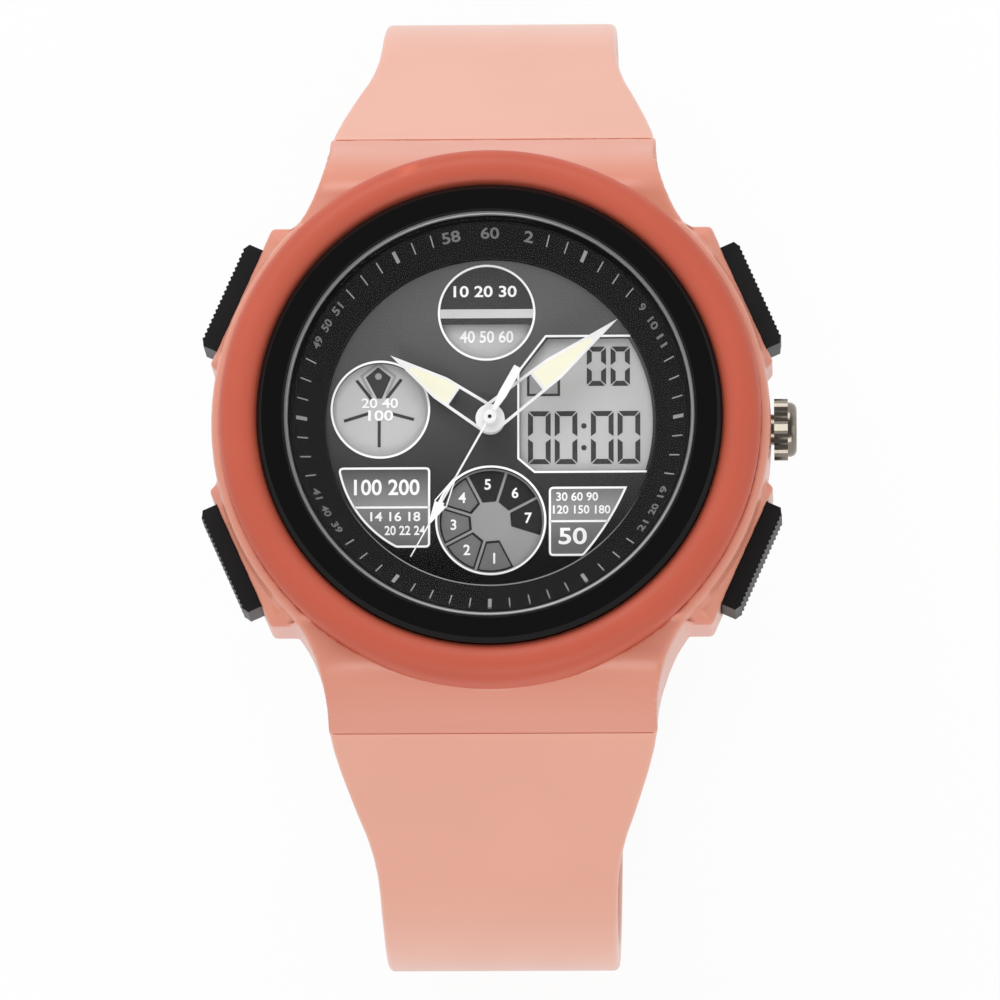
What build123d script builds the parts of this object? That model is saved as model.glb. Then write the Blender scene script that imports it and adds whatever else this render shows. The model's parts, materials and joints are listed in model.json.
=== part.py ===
from build123d import *
import os
from math import asin, atan2, cos, degrees, hypot, pi, radians, sin, sqrt

# Ana-digi wristwatch standing on its closed resin strap, in millimetres.
# +Z is out of the dial, +X is towards 3 o'clock and +Y towards 12 o'clock.
# The origin is under the dial's axis, on the table that the strap loop stands on.

# Gaps that every fit is made with
face_gap = 0.1
side_gap = 0.05
running_gap = 0.04
pin_gap = 0.03
cut_over = 1.0

# Case
watch_height = 62.0
case_depth = 15.4
case_rim = 0.85
case_edge_round = 0.8
cavity_ledge = 0.4
shoulder_depth = 5.05
collar_depth = 3.4
rim_depth = 4.6

# Case back, its gasket and screws
back_margin = 2.9
back_thickness = 1.0
back_gasket_margin = 0.5
back_gasket_width = 0.7
back_gasket_height = 0.4
back_screw_inset = 1.0
back_screw_count = 4
back_screw_angle = 45.0
back_screw_radius = 0.5
back_screw_length = 4.0
back_screw_head_radius = 0.9
back_screw_head_height = 0.55
back_slot_width = 0.3
back_slot_depth = 0.25
buzzer_radius = 7.0
buzzer_thickness = 0.3

# Bezel, crystal ring, crystal and chapter ring
bezel_width = 3.2
bezel_inner_depth = 1.0
bezel_crown_rise = 0.75
bezel_crown_share = 0.55
bezel_edge_depth = 2.4
bezel_foot_round = 0.3
ring_width = 2.45
ring_lip = 0.35
ring_bevel = 0.4
crystal_radius = 17.0
crystal_thickness = 1.3
crystal_bevel = 0.5
crystal_sink = 0.3
crystal_gasket_width = 0.5
crystal_gasket_height = 0.2
chapter_width = 3.15
chapter_inner_height = 0.35
chapter_land = 0.9

# Dial stack
dial_depth = 5.0
dial_thickness = 0.5
dial_hole_radius = 0.95
lcd_slack = 0.5
lcd_thickness = 1.0
backlight_thickness = 0.3
strip_length = 12.0
strip_width = 1.0
strip_inset = 2.0
motion_room = 1.1

# Windows of the dial, from the dial's centre
window_left = 2.45
window_top = 7.2
window_bottom = -4.1
window_top_cut = 2.3
window_top_drop = 3.0
window_bottom_cut = 1.3
window_bottom_rise = 1.05
window_edge_margin = 0.25
top_dial_x = -0.35
top_dial_y = 9.37
top_dial_radius = 3.95
top_window_drop = 0.6
left_dial_x = -9.27
left_dial_y = 1.14
left_dial_radius = 4.0
day_dial_y = -8.33
day_dial_radius = 4.45

# Movement: plates and the wheels that turn the hands
plate_thickness = 0.3
plate_seat = 0.6
train_room = 1.95
bridge_thickness = 0.25
bridge_radius = 9.0
bridge_post_radius = 0.5
bridge_post_inset = 0.8
bridge_post_angles = (20, 135, 240, 320)
wheel_thickness = 0.15
arbor_radius = 0.16
pivot_radius = 0.1
cannon_radius = 0.4
hour_pipe_radius = 0.75
rotor_module = 0.085
second_module = 0.115
third_module = 0.09
cannon_module = 0.125
pinion_teeth = 8
fifth_teeth = 48
second_teeth = 40
third_teeth = 60
centre_teeth = 64
cannon_teeth = 12
minute_teeth = 36
minute_pinion_teeth = 10
hour_teeth = 40
third_angle = 200.0
fifth_angle = 60.0
rotor_angle = 90.0
minute_angle = -60.0
tooth_tip_share = 0.8
tooth_root_share = 1.15
tooth_tip_width_share = 0.22
tooth_root_width_share = 0.5

# Levels of the train, above the train bridge
second_wheel_level = 0.3
second_pinion_level = 0.6
second_pinion_height = 0.5
third_wheel_level = 0.75
third_pinion_level = 1.05
third_pinion_height = 0.55
centre_wheel_level = 1.3
fifth_pinion_level = 0.2
fifth_pinion_height = 0.4
rotor_pinion_level = 0.65
rotor_pinion_height = 0.35
rotor_radius = 0.8
rotor_level = 1.1
rotor_height = 0.55

# Levels of the motion work, above the movement plate
cannon_pinion_level = 0.12
cannon_pinion_height = 0.33
minute_wheel_level = 0.18
minute_pinion_level = 0.45
minute_pinion_height = 0.4
hour_wheel_level = 0.62
minute_stud_radius = 0.15

# Stepping motor
stator_width = 3.0
stator_level = 1.2
stator_thickness = 0.35
stator_bore = 1.05
coil_radius = 0.65
coil_length = 7.0
core_width = 1.2
core_thickness = 0.3
core_reach = 7.1

# Module frame, board, battery and contacts
frame_slack = 0.5
frame_wall = 0.8
frame_ledge = 9.3
board_gap = 0.15
board_thickness = 0.35
board_slack = 0.2
battery_radius = 4.75
battery_height = 2.6
battery_x = -6.5
battery_y = -5.5
battery_edge = 0.3
clamp_thickness = 0.12
clamp_width = 3.0
chip_x = 6.5
chip_y = -5.5
chip_radius = 3.2
chip_height = 0.9
quartz_radius = 0.75
quartz_length = 6.0
quartz_x = 1.0
quartz_y = 8.0
contact_inset = 1.55
contact_thickness = 0.15
contact_width = 2.4
contact_height = 2.4

# Hands
hand_thickness = 0.15
hand_line = 0.24
hour_hand_height = 1.15
minute_hand_height = 2.0
second_hand_height = 2.75
hour_tip_gap = 3.8
minute_tip_gap = 0.25
second_tip_gap = 0.3
second_tail_length = 4.85
hour_hand_angle = 303.5
minute_hand_angle = 51.8
second_hand_angle = 209.2
hand_hub_radius = 1.22
hand_root_half = 1.2
hand_belly_half = 1.03
hand_belly_share = 0.5
hand_lume_tip_share = 0.8
hour_lume_start = 3.9
minute_lume_start = 5.2
second_hub_radius = 0.68
second_line_half = 0.09
second_tail_half = 0.36
second_arrow_share = 0.72
second_arrow_length = 1.5
second_arrow_half = 0.28
second_arm_share = 0.45

# Crown and its setting yoke
crown_depth = 9.0
crown_radius = 2.6
crown_flutes = 30
crown_flute_depth = 0.14
crown_band = 1.15
crown_cap = 0.75
crown_cap_round = 0.6
crown_cap_radius = 2.3
crown_gap = 0.25
crown_travel = 1.0
crown_collar_radius = 1.3
crown_collar_length = 3.7
crown_groove_radius = 1.95
crown_groove_width = 0.75
crown_seal_radius = 0.3
stem_radius = 0.4
stem_end = 5.0
stem_in_crown = 2.0
stem_notch_radius = 0.26
yoke_start = 6.9
yoke_thickness = 0.8
yoke_width = 2.4
yoke_height = 1.8

# Pushers
pusher_depth = 9.3
pusher_angles = (24.0, 156.0, 204.0, 336.0)
pusher_sides = (1, -1, 1, -1)
pusher_names = ("start", "light", "mode", "reset")
pusher_offset = 1.3
pusher_stand = 1.9
pusher_length = 9.5
pusher_height = 5.0
pusher_body = 2.8
pusher_ribs = 20
pusher_rib_depth = 0.16
pusher_travel = 0.8
pusher_stem_radius = 0.9
pusher_corner_round = 0.35
recess_gap = 0.12
spring_well_radius = 1.9
spring_well_depth = 1.8
spring_radius = 1.4
spring_wire = 0.15
spring_turns = 3
seal_inset = 0.9
seal_width = 0.9
seal_groove_radius = 1.8
seal_wire = 0.4
clip_radius = 1.6
clip_thickness = 0.3
clip_inset = 0.6

# Pusher guards
guard_stand = 0.35
guard_corner_y = 17.0
guard_inner_y = 5.4
guard_foot_inset = 0.5
guard_foot_y = 4.6
guard_depth = 5.6
guard_height = 8.4
guard_chamfer = 0.9

# Strap hoods of the case
hood_seam_half = 13.9
hood_root_half = 16.4
hood_mid_share = 0.36
hood_mid_narrow_share = 0.66
hood_crest_inset = 1.7
hood_crest_depth = 4.9
hood_sag = 0.35
hood_crest_round = 1.2
hood_end_thickness = 5.5
hood_floor_rise = 0.3

# Strap
loop_reach = 41.5
loop_reach_height = 20.8
loop_flat_half = 20.7
side_radius_share = 0.8372
strap_thickness = 2.5
strap_root_half = 13.85
strap_half_width = 10.0
strap_taper_drops = (8.0, 14.7, 23.7)
strap_taper_shares = (0.57, 0.16, 0.0)
seam_stand = 1.8
seam_depth = 11.337
seam_gap = 0.12
strap_end_thickness = 5.2
strap_layer_gap = 0.1
tab_half = 8.5
tab_length = 4.0
tab_skin = 1.3
tab_thickness = 3.3
strap_pin_radius = 0.75
strap_pin_length = 21.0
strap_pin_in = 2.2
strap_tail_past = 3.3
strap_tail_round = 7.0
hole_half = 1.15
hole_length = 4.0
hole_pitch = 6.5
hole_offset = 2.85
holes_in_tail = 4
holes_behind = 4

# Buckle
bar_y = -6.5
bar_radius = 0.8
buckle_half = 12.6
buckle_side = 1.7
buckle_reach = 8.4
crossbar_thickness = 1.9
crossbar_width = 2.4
crossbar_lift = 0.45
knuckle_gap = 0.15
tongue_half = 0.85
tongue_thickness = 0.8
tongue_eye_radius = 1.25
prong_root_share = 0.77
notch_half = 1.2
notch_depth = 0.75

# Keepers
keeper_thickness = 1.0
keeper_width = 5.0
keeper_gap = 0.12
keeper_round = 1.0
slider_y = 11.0
nib_radius = 0.6
nib_height = 0.5

# Radii and reaches that follow from the sizes above
cavity_radius = crystal_radius + cavity_ledge
ring_top_inner = crystal_radius + ring_lip
ring_radius = crystal_radius + ring_width
bezel_radius = ring_radius + bezel_width
case_radius = bezel_radius + case_rim
back_radius = case_radius - back_margin
back_gasket_inner = cavity_radius + back_gasket_margin
back_screw_circle = back_radius - back_screw_inset
chapter_inner = crystal_radius - chapter_width
window_edge_radius = chapter_inner - window_edge_margin
frame_radius = cavity_radius - frame_slack
board_radius = frame_radius - frame_wall - board_slack
lcd_radius = frame_radius - frame_wall - lcd_slack
strip_reach = lcd_radius - strip_inset
plate_radius = frame_ledge + plate_seat
bridge_post_circle = bridge_radius - bridge_post_inset
hour_hand_length = chapter_inner - hour_tip_gap
minute_hand_length = chapter_inner - minute_tip_gap
second_hand_length = chapter_inner - second_tip_gap
pusher_reach = case_radius + pusher_stand
recess_floor = pusher_reach - pusher_body - pusher_travel - face_gap
contact_reach = frame_radius - contact_inset
pusher_stem_end = contact_reach + contact_thickness + pusher_travel + side_gap
seal_start = cavity_radius + seal_inset
clip_reach = cavity_radius - clip_inset
guard_reach = case_radius + guard_stand
guard_foot_x = case_radius - guard_foot_inset
hood_crest_y = case_radius - hood_crest_inset
hood_root_y = sqrt(case_radius ** 2 - hood_root_half ** 2)
seam_y = case_radius + seam_stand
strap_tail_end = loop_flat_half + strap_tail_past
foot_y = -loop_flat_half
crossbar_y = bar_y - buckle_reach

# Levels that follow from the sizes above
ring_top = watch_height
case_floor = ring_top - case_depth
shoulder = ring_top - shoulder_depth
rim_top = ring_top - rim_depth
collar_top = ring_top - collar_depth
back_top = case_floor + back_thickness
crystal_top = ring_top - crystal_sink
crystal_bottom = crystal_top - crystal_thickness
chapter_top = crystal_bottom - crystal_gasket_height
dial_top = ring_top - dial_depth
dial_bottom = dial_top - dial_thickness
lcd_top = dial_bottom - face_gap
lcd_bottom = lcd_top - lcd_thickness
backlight_top = lcd_bottom - face_gap
backlight_bottom = backlight_top - backlight_thickness
plate_top = backlight_bottom - motion_room
plate_bottom = plate_top - plate_thickness
bridge_top = plate_bottom - train_room
bridge_bottom = bridge_top - bridge_thickness
board_top = bridge_bottom - board_gap
board_bottom = board_top - board_thickness
battery_top = board_bottom - face_gap
battery_bottom = battery_top - battery_height
frame_bottom = back_top + face_gap
crown_height = ring_top - crown_depth
pusher_z = ring_top - pusher_depth
keeper_inner = keeper_thickness
tail_outer = keeper_inner + keeper_gap
tail_inner = tail_outer + strap_thickness
upper_outer = tail_inner + strap_layer_gap
upper_inner = upper_outer + strap_thickness
bar_height = upper_outer + strap_thickness / 2
crossbar_top = crossbar_lift + crossbar_thickness
pass_height = crossbar_top + strap_layer_gap

# The strap's straight run, from the seam to where it meets the round side of the loop
seam_height = ring_top - seam_depth
side_drop = seam_height - loop_reach_height
strap_side_radius = side_drop * side_radius_share
side_centre_y = loop_reach - strap_side_radius
side_lean = atan2(side_drop, side_centre_y - seam_y)
strap_slope = side_lean - asin(strap_side_radius / hypot(side_drop, side_centre_y - seam_y))
seam_rise = sin(strap_slope)
seam_run = cos(strap_slope)
side_start_y = side_centre_y + strap_side_radius * seam_rise
side_start_z = loop_reach_height + strap_side_radius * seam_run


# Plain shapes

def drum(radius, low, high, x=0, y=0):
    base = Align.CENTER, Align.CENTER, Align.MIN
    return Pos(x, y, low) * Cylinder(radius, high - low, align=base)


def tube(outer, inner, low, high, x=0, y=0):
    return drum(outer, low, high, x, y) - drum(inner, low - cut_over, high + cut_over, x, y)


def block(x0, x1, y0, y1, z0, z1):
    corner = Align.MIN, Align.MIN, Align.MIN
    return Pos(x0, y0, z0) * Box(x1 - x0, y1 - y0, z1 - z0, align=corner)


def rod_x(radius, start, end, y, z):
    base = Align.CENTER, Align.CENTER, Align.MIN
    return Pos(start, y, z) * (Rot(0, 90, 0) * Cylinder(radius, end - start, align=base))


def torus_x(major, minor, x, y, z):
    return Pos(x, y, z) * (Rot(0, 90, 0) * Torus(major, minor))


def spun(points):
    return revolve(Plane.XZ * make_face(Polyline(*points, close=True)), axis=Axis.Z)


def polar(radius, angle):
    return radius * cos(radians(angle)), radius * sin(radians(angle))


def side_slab(face, half):
    """A solid with this outline in Y and Z, and this half width in X."""
    return extrude(Plane.YZ * face, amount=half, both=True)


# Toothed wheels

def pitch_radius(teeth, module):
    return teeth * module / 2


def gear(teeth, module, low, high, x, y, tooth_angle):
    """A toothed disc with one tooth centred on tooth_angle."""
    pitch = pitch_radius(teeth, module)
    tip = pitch + module * tooth_tip_share
    root = pitch - module * tooth_root_share
    step = 360 / teeth
    points = []
    for n in range(teeth):
        middle = tooth_angle + n * step
        root_half = step * tooth_root_width_share / 2
        tip_half = step * tooth_tip_width_share / 2
        points.append(polar(root, middle - root_half))
        points.append(polar(tip, middle - tip_half))
        points.append(polar(tip, middle + tip_half))
        points.append(polar(root, middle + root_half))
    face = make_face(Polyline(*points, close=True))
    return Pos(x, y, low) * extrude(face, amount=high - low)


third_distance = pitch_radius(pinion_teeth + third_teeth, third_module)
fifth_distance = pitch_radius(pinion_teeth + second_teeth, second_module)
rotor_distance = pitch_radius(pinion_teeth + fifth_teeth, rotor_module)
minute_distance = pitch_radius(cannon_teeth + minute_teeth, cannon_module)
centre_tooth_module = 2 * third_distance / (pinion_teeth + centre_teeth)
hour_tooth_module = 2 * minute_distance / (minute_pinion_teeth + hour_teeth)
third_x, third_y = polar(third_distance, third_angle)
fifth_x, fifth_y = polar(fifth_distance, fifth_angle)
minute_x, minute_y = polar(minute_distance, minute_angle)
rotor_x = fifth_x + polar(rotor_distance, rotor_angle)[0]
rotor_y = fifth_y + polar(rotor_distance, rotor_angle)[1]


def facing_gap(teeth, angle):
    """The tooth angle of a gear that shows a gap, not a tooth, towards angle."""
    return angle + 180 / teeth


def arbor(x, y, low, high):
    """A wheel's shaft, whose thin pivots run in the bridge and the movement plate."""
    shaft = drum(arbor_radius, low, high, x, y)
    pivots = drum(pivot_radius, bridge_bottom, plate_top, x, y)
    return shaft + pivots


def second_wheel():
    low = bridge_top + second_wheel_level
    pinion = bridge_top + second_pinion_level
    wheel = gear(second_teeth, second_module, low, low + wheel_thickness, 0, 0, fifth_angle)
    wheel += gear(pinion_teeth, third_module, pinion, pinion + second_pinion_height, 0, 0,
                  facing_gap(pinion_teeth, third_angle))
    shaft = drum(arbor_radius, bridge_top + face_gap, dial_top + second_hand_height, 0, 0)
    return wheel + shaft + drum(pivot_radius, bridge_bottom, bridge_top + second_wheel_level, 0, 0)


def third_wheel():
    low = bridge_top + third_wheel_level
    pinion = bridge_top + third_pinion_level
    back = third_angle + 180
    wheel = gear(third_teeth, third_module, low, low + wheel_thickness, third_x, third_y, back)
    wheel += gear(pinion_teeth, centre_tooth_module, low, pinion + third_pinion_height,
                  third_x, third_y, facing_gap(pinion_teeth, back))
    return wheel + arbor(third_x, third_y, bridge_top + face_gap, plate_bottom - face_gap)


def centre_wheel():
    low = bridge_top + centre_wheel_level
    pinion = plate_top + cannon_pinion_level
    wheel = gear(centre_teeth, centre_tooth_module, low, low + wheel_thickness, 0, 0, third_angle)
    wheel += drum(cannon_radius, low, dial_top + minute_hand_height)
    wheel += gear(cannon_teeth, cannon_module, pinion, pinion + cannon_pinion_height, 0, 0,
                  facing_gap(cannon_teeth, minute_angle))
    return wheel - drum(arbor_radius + running_gap, low - cut_over, ring_top)


def fifth_wheel():
    low = bridge_top + third_wheel_level
    pinion = bridge_top + fifth_pinion_level
    wheel = gear(fifth_teeth, rotor_module, low, low + wheel_thickness, fifth_x, fifth_y, rotor_angle)
    wheel += gear(pinion_teeth, second_module, pinion, pinion + fifth_pinion_height,
                  fifth_x, fifth_y, facing_gap(pinion_teeth, fifth_angle + 180))
    return wheel + arbor(fifth_x, fifth_y, bridge_top + face_gap, plate_bottom - face_gap)


def rotor():
    pinion = bridge_top + rotor_pinion_level
    magnet = bridge_top + rotor_level
    piece = gear(pinion_teeth, rotor_module, pinion, pinion + rotor_pinion_height,
                 rotor_x, rotor_y, facing_gap(pinion_teeth, rotor_angle + 180))
    piece += drum(rotor_radius, magnet, magnet + rotor_height, rotor_x, rotor_y)
    return piece + arbor(rotor_x, rotor_y, bridge_top + face_gap, plate_bottom - face_gap)


def minute_wheel():
    low = plate_top + minute_wheel_level
    pinion = plate_top + minute_pinion_level
    back = minute_angle + 180
    wheel = gear(minute_teeth, cannon_module, low, low + wheel_thickness, minute_x, minute_y, back)
    wheel += gear(minute_pinion_teeth, hour_tooth_module, low, pinion + minute_pinion_height,
                  minute_x, minute_y, facing_gap(minute_pinion_teeth, back))
    return wheel - drum(minute_stud_radius + running_gap, low - cut_over, lcd_top, minute_x, minute_y)


def hour_wheel():
    low = plate_top + hour_wheel_level
    wheel = gear(hour_teeth, hour_tooth_module, low, low + wheel_thickness, 0, 0, minute_angle)
    wheel += drum(hour_pipe_radius, low, dial_top + hour_hand_height)
    return wheel - drum(cannon_radius + running_gap, low - cut_over, ring_top)


# Movement plates and motor

def movement_plate():
    plate = drum(plate_radius - side_gap, plate_bottom, plate_top)
    plate -= drum(cannon_radius + running_gap, plate_bottom - cut_over, plate_top + cut_over)
    for x, y in ((third_x, third_y), (fifth_x, fifth_y), (rotor_x, rotor_y)):
        plate -= drum(pivot_radius + pin_gap, plate_bottom - cut_over, plate_top + cut_over, x, y)
    stud_top = plate_top + minute_pinion_level + minute_pinion_height
    return plate + drum(minute_stud_radius, plate_bottom, stud_top, minute_x, minute_y)


def train_bridge():
    bridge = drum(bridge_radius, bridge_bottom, bridge_top)
    for x, y in ((0, 0), (third_x, third_y), (fifth_x, fifth_y), (rotor_x, rotor_y)):
        bridge -= drum(pivot_radius + pin_gap, bridge_bottom - cut_over, bridge_top + cut_over, x, y)
    for angle in bridge_post_angles:
        x, y = polar(bridge_post_circle, angle)
        bridge += drum(bridge_post_radius, bridge_top, plate_bottom, x, y)
    return bridge


def motor_stator():
    low = bridge_top + stator_level
    high = low + stator_thickness
    back = core_reach + core_width / 2
    front = rotor_y - stator_bore - stator_width / 4
    half = coil_length / 2 + core_width
    plate = block(-half + rotor_x / 2, half + rotor_x / 2, front, back, low, high)
    room = block(-coil_length / 2 + rotor_x / 2, coil_length / 2 + rotor_x / 2,
                 core_reach - coil_radius - face_gap, back + cut_over, low - cut_over, high + cut_over)
    return plate - room - drum(stator_bore, low - cut_over, high + cut_over, rotor_x, rotor_y)


def motor_coil():
    top = bridge_top + stator_level
    low = top - core_thickness
    half = coil_length / 2 + core_width
    middle = rotor_x / 2
    core = block(middle - half, middle + half, core_reach - core_width / 2,
                 core_reach + core_width / 2, low, top)
    return core + rod_x(coil_radius, middle - coil_length / 2 + face_gap,
                        middle + coil_length / 2 - face_gap, core_reach, low + core_thickness / 2)


# Module frame and what it carries

def at_pusher(index, piece):
    """Turns a piece made with X as the pusher's reach to its place on the case."""
    shift = Pos(0, pusher_sides[index] * pusher_offset, 0)
    return Pos(0, 0, pusher_z) * Rot(0, 0, pusher_angles[index]) * shift * piece


def module_frame():
    body = drum(frame_radius, frame_bottom, dial_bottom)
    body -= drum(frame_radius - frame_wall, backlight_bottom, dial_bottom + cut_over)
    body -= drum(plate_radius, plate_bottom - pin_gap, backlight_bottom + cut_over)
    body -= drum(frame_ledge, frame_bottom, plate_bottom + cut_over)
    body -= drum(frame_radius - frame_wall, frame_bottom - cut_over, bridge_bottom)
    body -= rod_x(stem_radius + side_gap, 0, frame_radius + cut_over, 0, crown_height)
    half = clip_radius + 2 * face_gap
    for index in range(len(pusher_angles)):
        notch = block(contact_reach - face_gap, frame_radius + cut_over, -half, half,
                      board_bottom - pusher_z, half)
        body -= at_pusher(index, notch)
    return body


def circuit_board():
    board = drum(board_radius, board_bottom, board_top)
    return board - drum(dial_hole_radius, board_bottom - cut_over, board_top + cut_over)


def chip_cover():
    dome = drum(chip_radius, board_bottom - chip_height, board_bottom, chip_x, chip_y)
    return fillet(dome.edges().group_by(Axis.Z)[0], chip_height / 2)


def quartz_can():
    can = rod_x(quartz_radius, quartz_x, quartz_x + quartz_length, quartz_y, 0)
    can = fillet(can.edges().group_by(Axis.X)[-1], quartz_radius / 2)
    return Pos(0, 0, board_bottom - quartz_radius) * can


def battery():
    low = drum(battery_radius - battery_edge, battery_bottom, battery_top, battery_x, battery_y)
    high = drum(battery_radius, battery_bottom + battery_edge, battery_top, battery_x, battery_y)
    return low + high


def battery_clamp():
    reach = battery_radius + face_gap + clamp_thickness
    strap = block(battery_x - reach, battery_x + reach, battery_y - clamp_width / 2,
                  battery_y + clamp_width / 2, battery_bottom - clamp_thickness, battery_bottom)
    for side in (-1, 1):
        x = battery_x + side * (reach - clamp_thickness / 2)
        strap += block(x - clamp_thickness / 2, x + clamp_thickness / 2, battery_y - clamp_width / 2,
                       battery_y + clamp_width / 2, battery_bottom - clamp_thickness, board_bottom)
    return strap


def button_contacts():
    leaves = []
    for index in range(len(pusher_angles)):
        leaf = block(contact_reach, contact_reach + contact_thickness, -contact_width / 2,
                     contact_width / 2, board_top - pusher_z, board_top - pusher_z + contact_height)
        leaves.append(at_pusher(index, leaf))
    return Compound(children=leaves)


# Dial, display and crystal

def window_outline():
    """The display window: a six-sided opening that ends at the dial's edge."""
    top_reach = sqrt(window_edge_radius ** 2 - window_top ** 2)
    bottom_reach = sqrt(window_edge_radius ** 2 - window_bottom ** 2)
    lines = Polyline(
        (top_reach, window_top),
        (window_left + window_top_cut, window_top),
        (window_left, window_top - window_top_drop),
        (window_left, window_bottom + window_bottom_rise),
        (window_left + window_bottom_cut, window_bottom),
        (bottom_reach, window_bottom),
    )
    edge = ThreePointArc((bottom_reach, window_bottom), (window_edge_radius, 0), (top_reach, window_top))
    return make_face(lines + edge)


def through_dial(face):
    return Pos(0, 0, dial_bottom - cut_over) * extrude(face, amount=dial_thickness + 2 * cut_over)


def dial_plate():
    plate = drum(frame_radius, dial_bottom, dial_top)
    plate -= drum(dial_hole_radius, dial_bottom - cut_over, dial_top + cut_over)
    plate -= through_dial(window_outline())
    plate -= through_dial(Pos(left_dial_x, left_dial_y) * Circle(left_dial_radius))
    plate -= through_dial(Pos(0, day_dial_y) * Circle(day_dial_radius))
    lower = Pos(0, -top_window_drop - top_dial_radius) * Rectangle(2 * top_dial_radius, 2 * top_dial_radius)
    return plate - through_dial(Pos(top_dial_x, top_dial_y) * (Circle(top_dial_radius) & lower))


def lcd_panel():
    hole = drum(dial_hole_radius, lcd_bottom - cut_over, lcd_top + cut_over)
    return drum(lcd_radius, lcd_bottom, lcd_top) - hole


def backlight_panel():
    panel = drum(lcd_radius, backlight_bottom, backlight_top)
    panel -= drum(dial_hole_radius, backlight_bottom - cut_over, backlight_top + cut_over)
    for side in (-1, 1):
        y = side * strip_reach
        panel -= block(-strip_length / 2 - face_gap, strip_length / 2 + face_gap,
                       y - strip_width / 2 - face_gap, y + strip_width / 2 + face_gap,
                       backlight_bottom - cut_over, backlight_top + cut_over)
    return panel


def conductive_strips():
    strips = []
    for side in (-1, 1):
        y = side * strip_reach
        strips.append(block(-strip_length / 2, strip_length / 2, y - strip_width / 2,
                            y + strip_width / 2, backlight_bottom, lcd_bottom))
    return Compound(children=strips)


def chapter_ring():
    outer = cavity_radius - face_gap
    return spun((
        (chapter_inner, dial_top),
        (chapter_inner, dial_top + chapter_inner_height),
        (outer - chapter_land, chapter_top),
        (outer, chapter_top),
        (outer, dial_top),
    ))


def crystal_gasket():
    return tube(crystal_radius, crystal_radius - crystal_gasket_width, chapter_top, crystal_bottom)


def crystal_glass():
    glass = drum(crystal_radius, crystal_bottom, crystal_top)
    return chamfer(glass.edges().group_by(Axis.Z)[-1], crystal_bevel / 2, crystal_bevel)


def crystal_ring():
    seat = crystal_radius + side_gap
    return spun((
        (cavity_radius, collar_top),
        (ring_radius, collar_top),
        (ring_radius, ring_top - ring_bevel),
        (ring_radius - ring_bevel, ring_top),
        (ring_top_inner, ring_top),
        (seat, crystal_top),
        (seat, chapter_top + face_gap),
        (cavity_radius, chapter_top + face_gap),
    ))


def bezel():
    inner = ring_radius + side_gap
    low = shoulder
    start = (inner, ring_top - bezel_inner_depth)
    crown = (inner + (bezel_radius - inner) * bezel_crown_share,
             ring_top - bezel_inner_depth + bezel_crown_rise)
    edge = (bezel_radius, ring_top - bezel_edge_depth)
    top = ThreePointArc(start, crown, edge)
    rest = Polyline(edge, (bezel_radius, low + bezel_foot_round), (bezel_radius - bezel_foot_round, low),
                    (inner, low), start)
    return revolve(Plane.XZ * make_face(top + rest), axis=Axis.Z)


# Hands, each drawn pointing along +X and turned clockwise from 12 o'clock

def place_hand(piece, turn):
    return Rot(0, 0, 90 - turn) * piece


def hand_outline(length, inset):
    """Half of this outline is a wide root, a belly and a long point."""
    belly = length * hand_belly_share
    return Polyline(
        (0, hand_root_half - inset),
        (belly, hand_belly_half - inset),
        (length * (1 - inset / hand_belly_half * hand_belly_share), 0),
        (belly, inset - hand_belly_half),
        (0, inset - hand_root_half),
        close=True,
    )


def lume_face(length, start):
    """The luminous window in the outer part of a hand."""
    end = length * hand_lume_tip_share
    inner = make_face(hand_outline(length, hand_line))
    return inner & Pos((start + end) / 2, 0) * Rectangle(end - start, 2 * hand_root_half)


def frame_hand(length, lume_start, bore, low):
    body = extrude(make_face(hand_outline(length, 0)), amount=hand_thickness)
    inner = make_face(hand_outline(length, hand_line))
    gap = inner & Pos(lume_start / 2 - hand_line / 2, 0) * Rectangle(lume_start - hand_line,
                                                                     2 * hand_root_half)
    body -= Pos(0, 0, -cut_over) * extrude(gap, amount=hand_thickness + 2 * cut_over)
    hole = lume_face(length, lume_start)
    body -= Pos(0, 0, -cut_over) * extrude(hole, amount=hand_thickness + 2 * cut_over)
    body += drum(hand_hub_radius, 0, hand_thickness)
    body -= drum(bore, -cut_over, hand_thickness + cut_over)
    return Pos(0, 0, low) * body


def hour_hand():
    low = dial_top + hour_hand_height - hand_thickness
    hand = frame_hand(hour_hand_length, hour_lume_start, hour_pipe_radius, low)
    return place_hand(hand, hour_hand_angle)


def hour_lume():
    low = dial_top + hour_hand_height - hand_thickness
    fill = extrude(lume_face(hour_hand_length, hour_lume_start), amount=hand_thickness)
    return place_hand(Pos(0, 0, low) * fill, hour_hand_angle)


def minute_hand():
    low = dial_top + minute_hand_height - hand_thickness
    hand = frame_hand(minute_hand_length, minute_lume_start, cannon_radius, low)
    return place_hand(hand, minute_hand_angle)


def minute_lume():
    low = dial_top + minute_hand_height - hand_thickness
    fill = extrude(lume_face(minute_hand_length, minute_lume_start), amount=hand_thickness)
    return place_hand(Pos(0, 0, low) * fill, minute_hand_angle)


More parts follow.
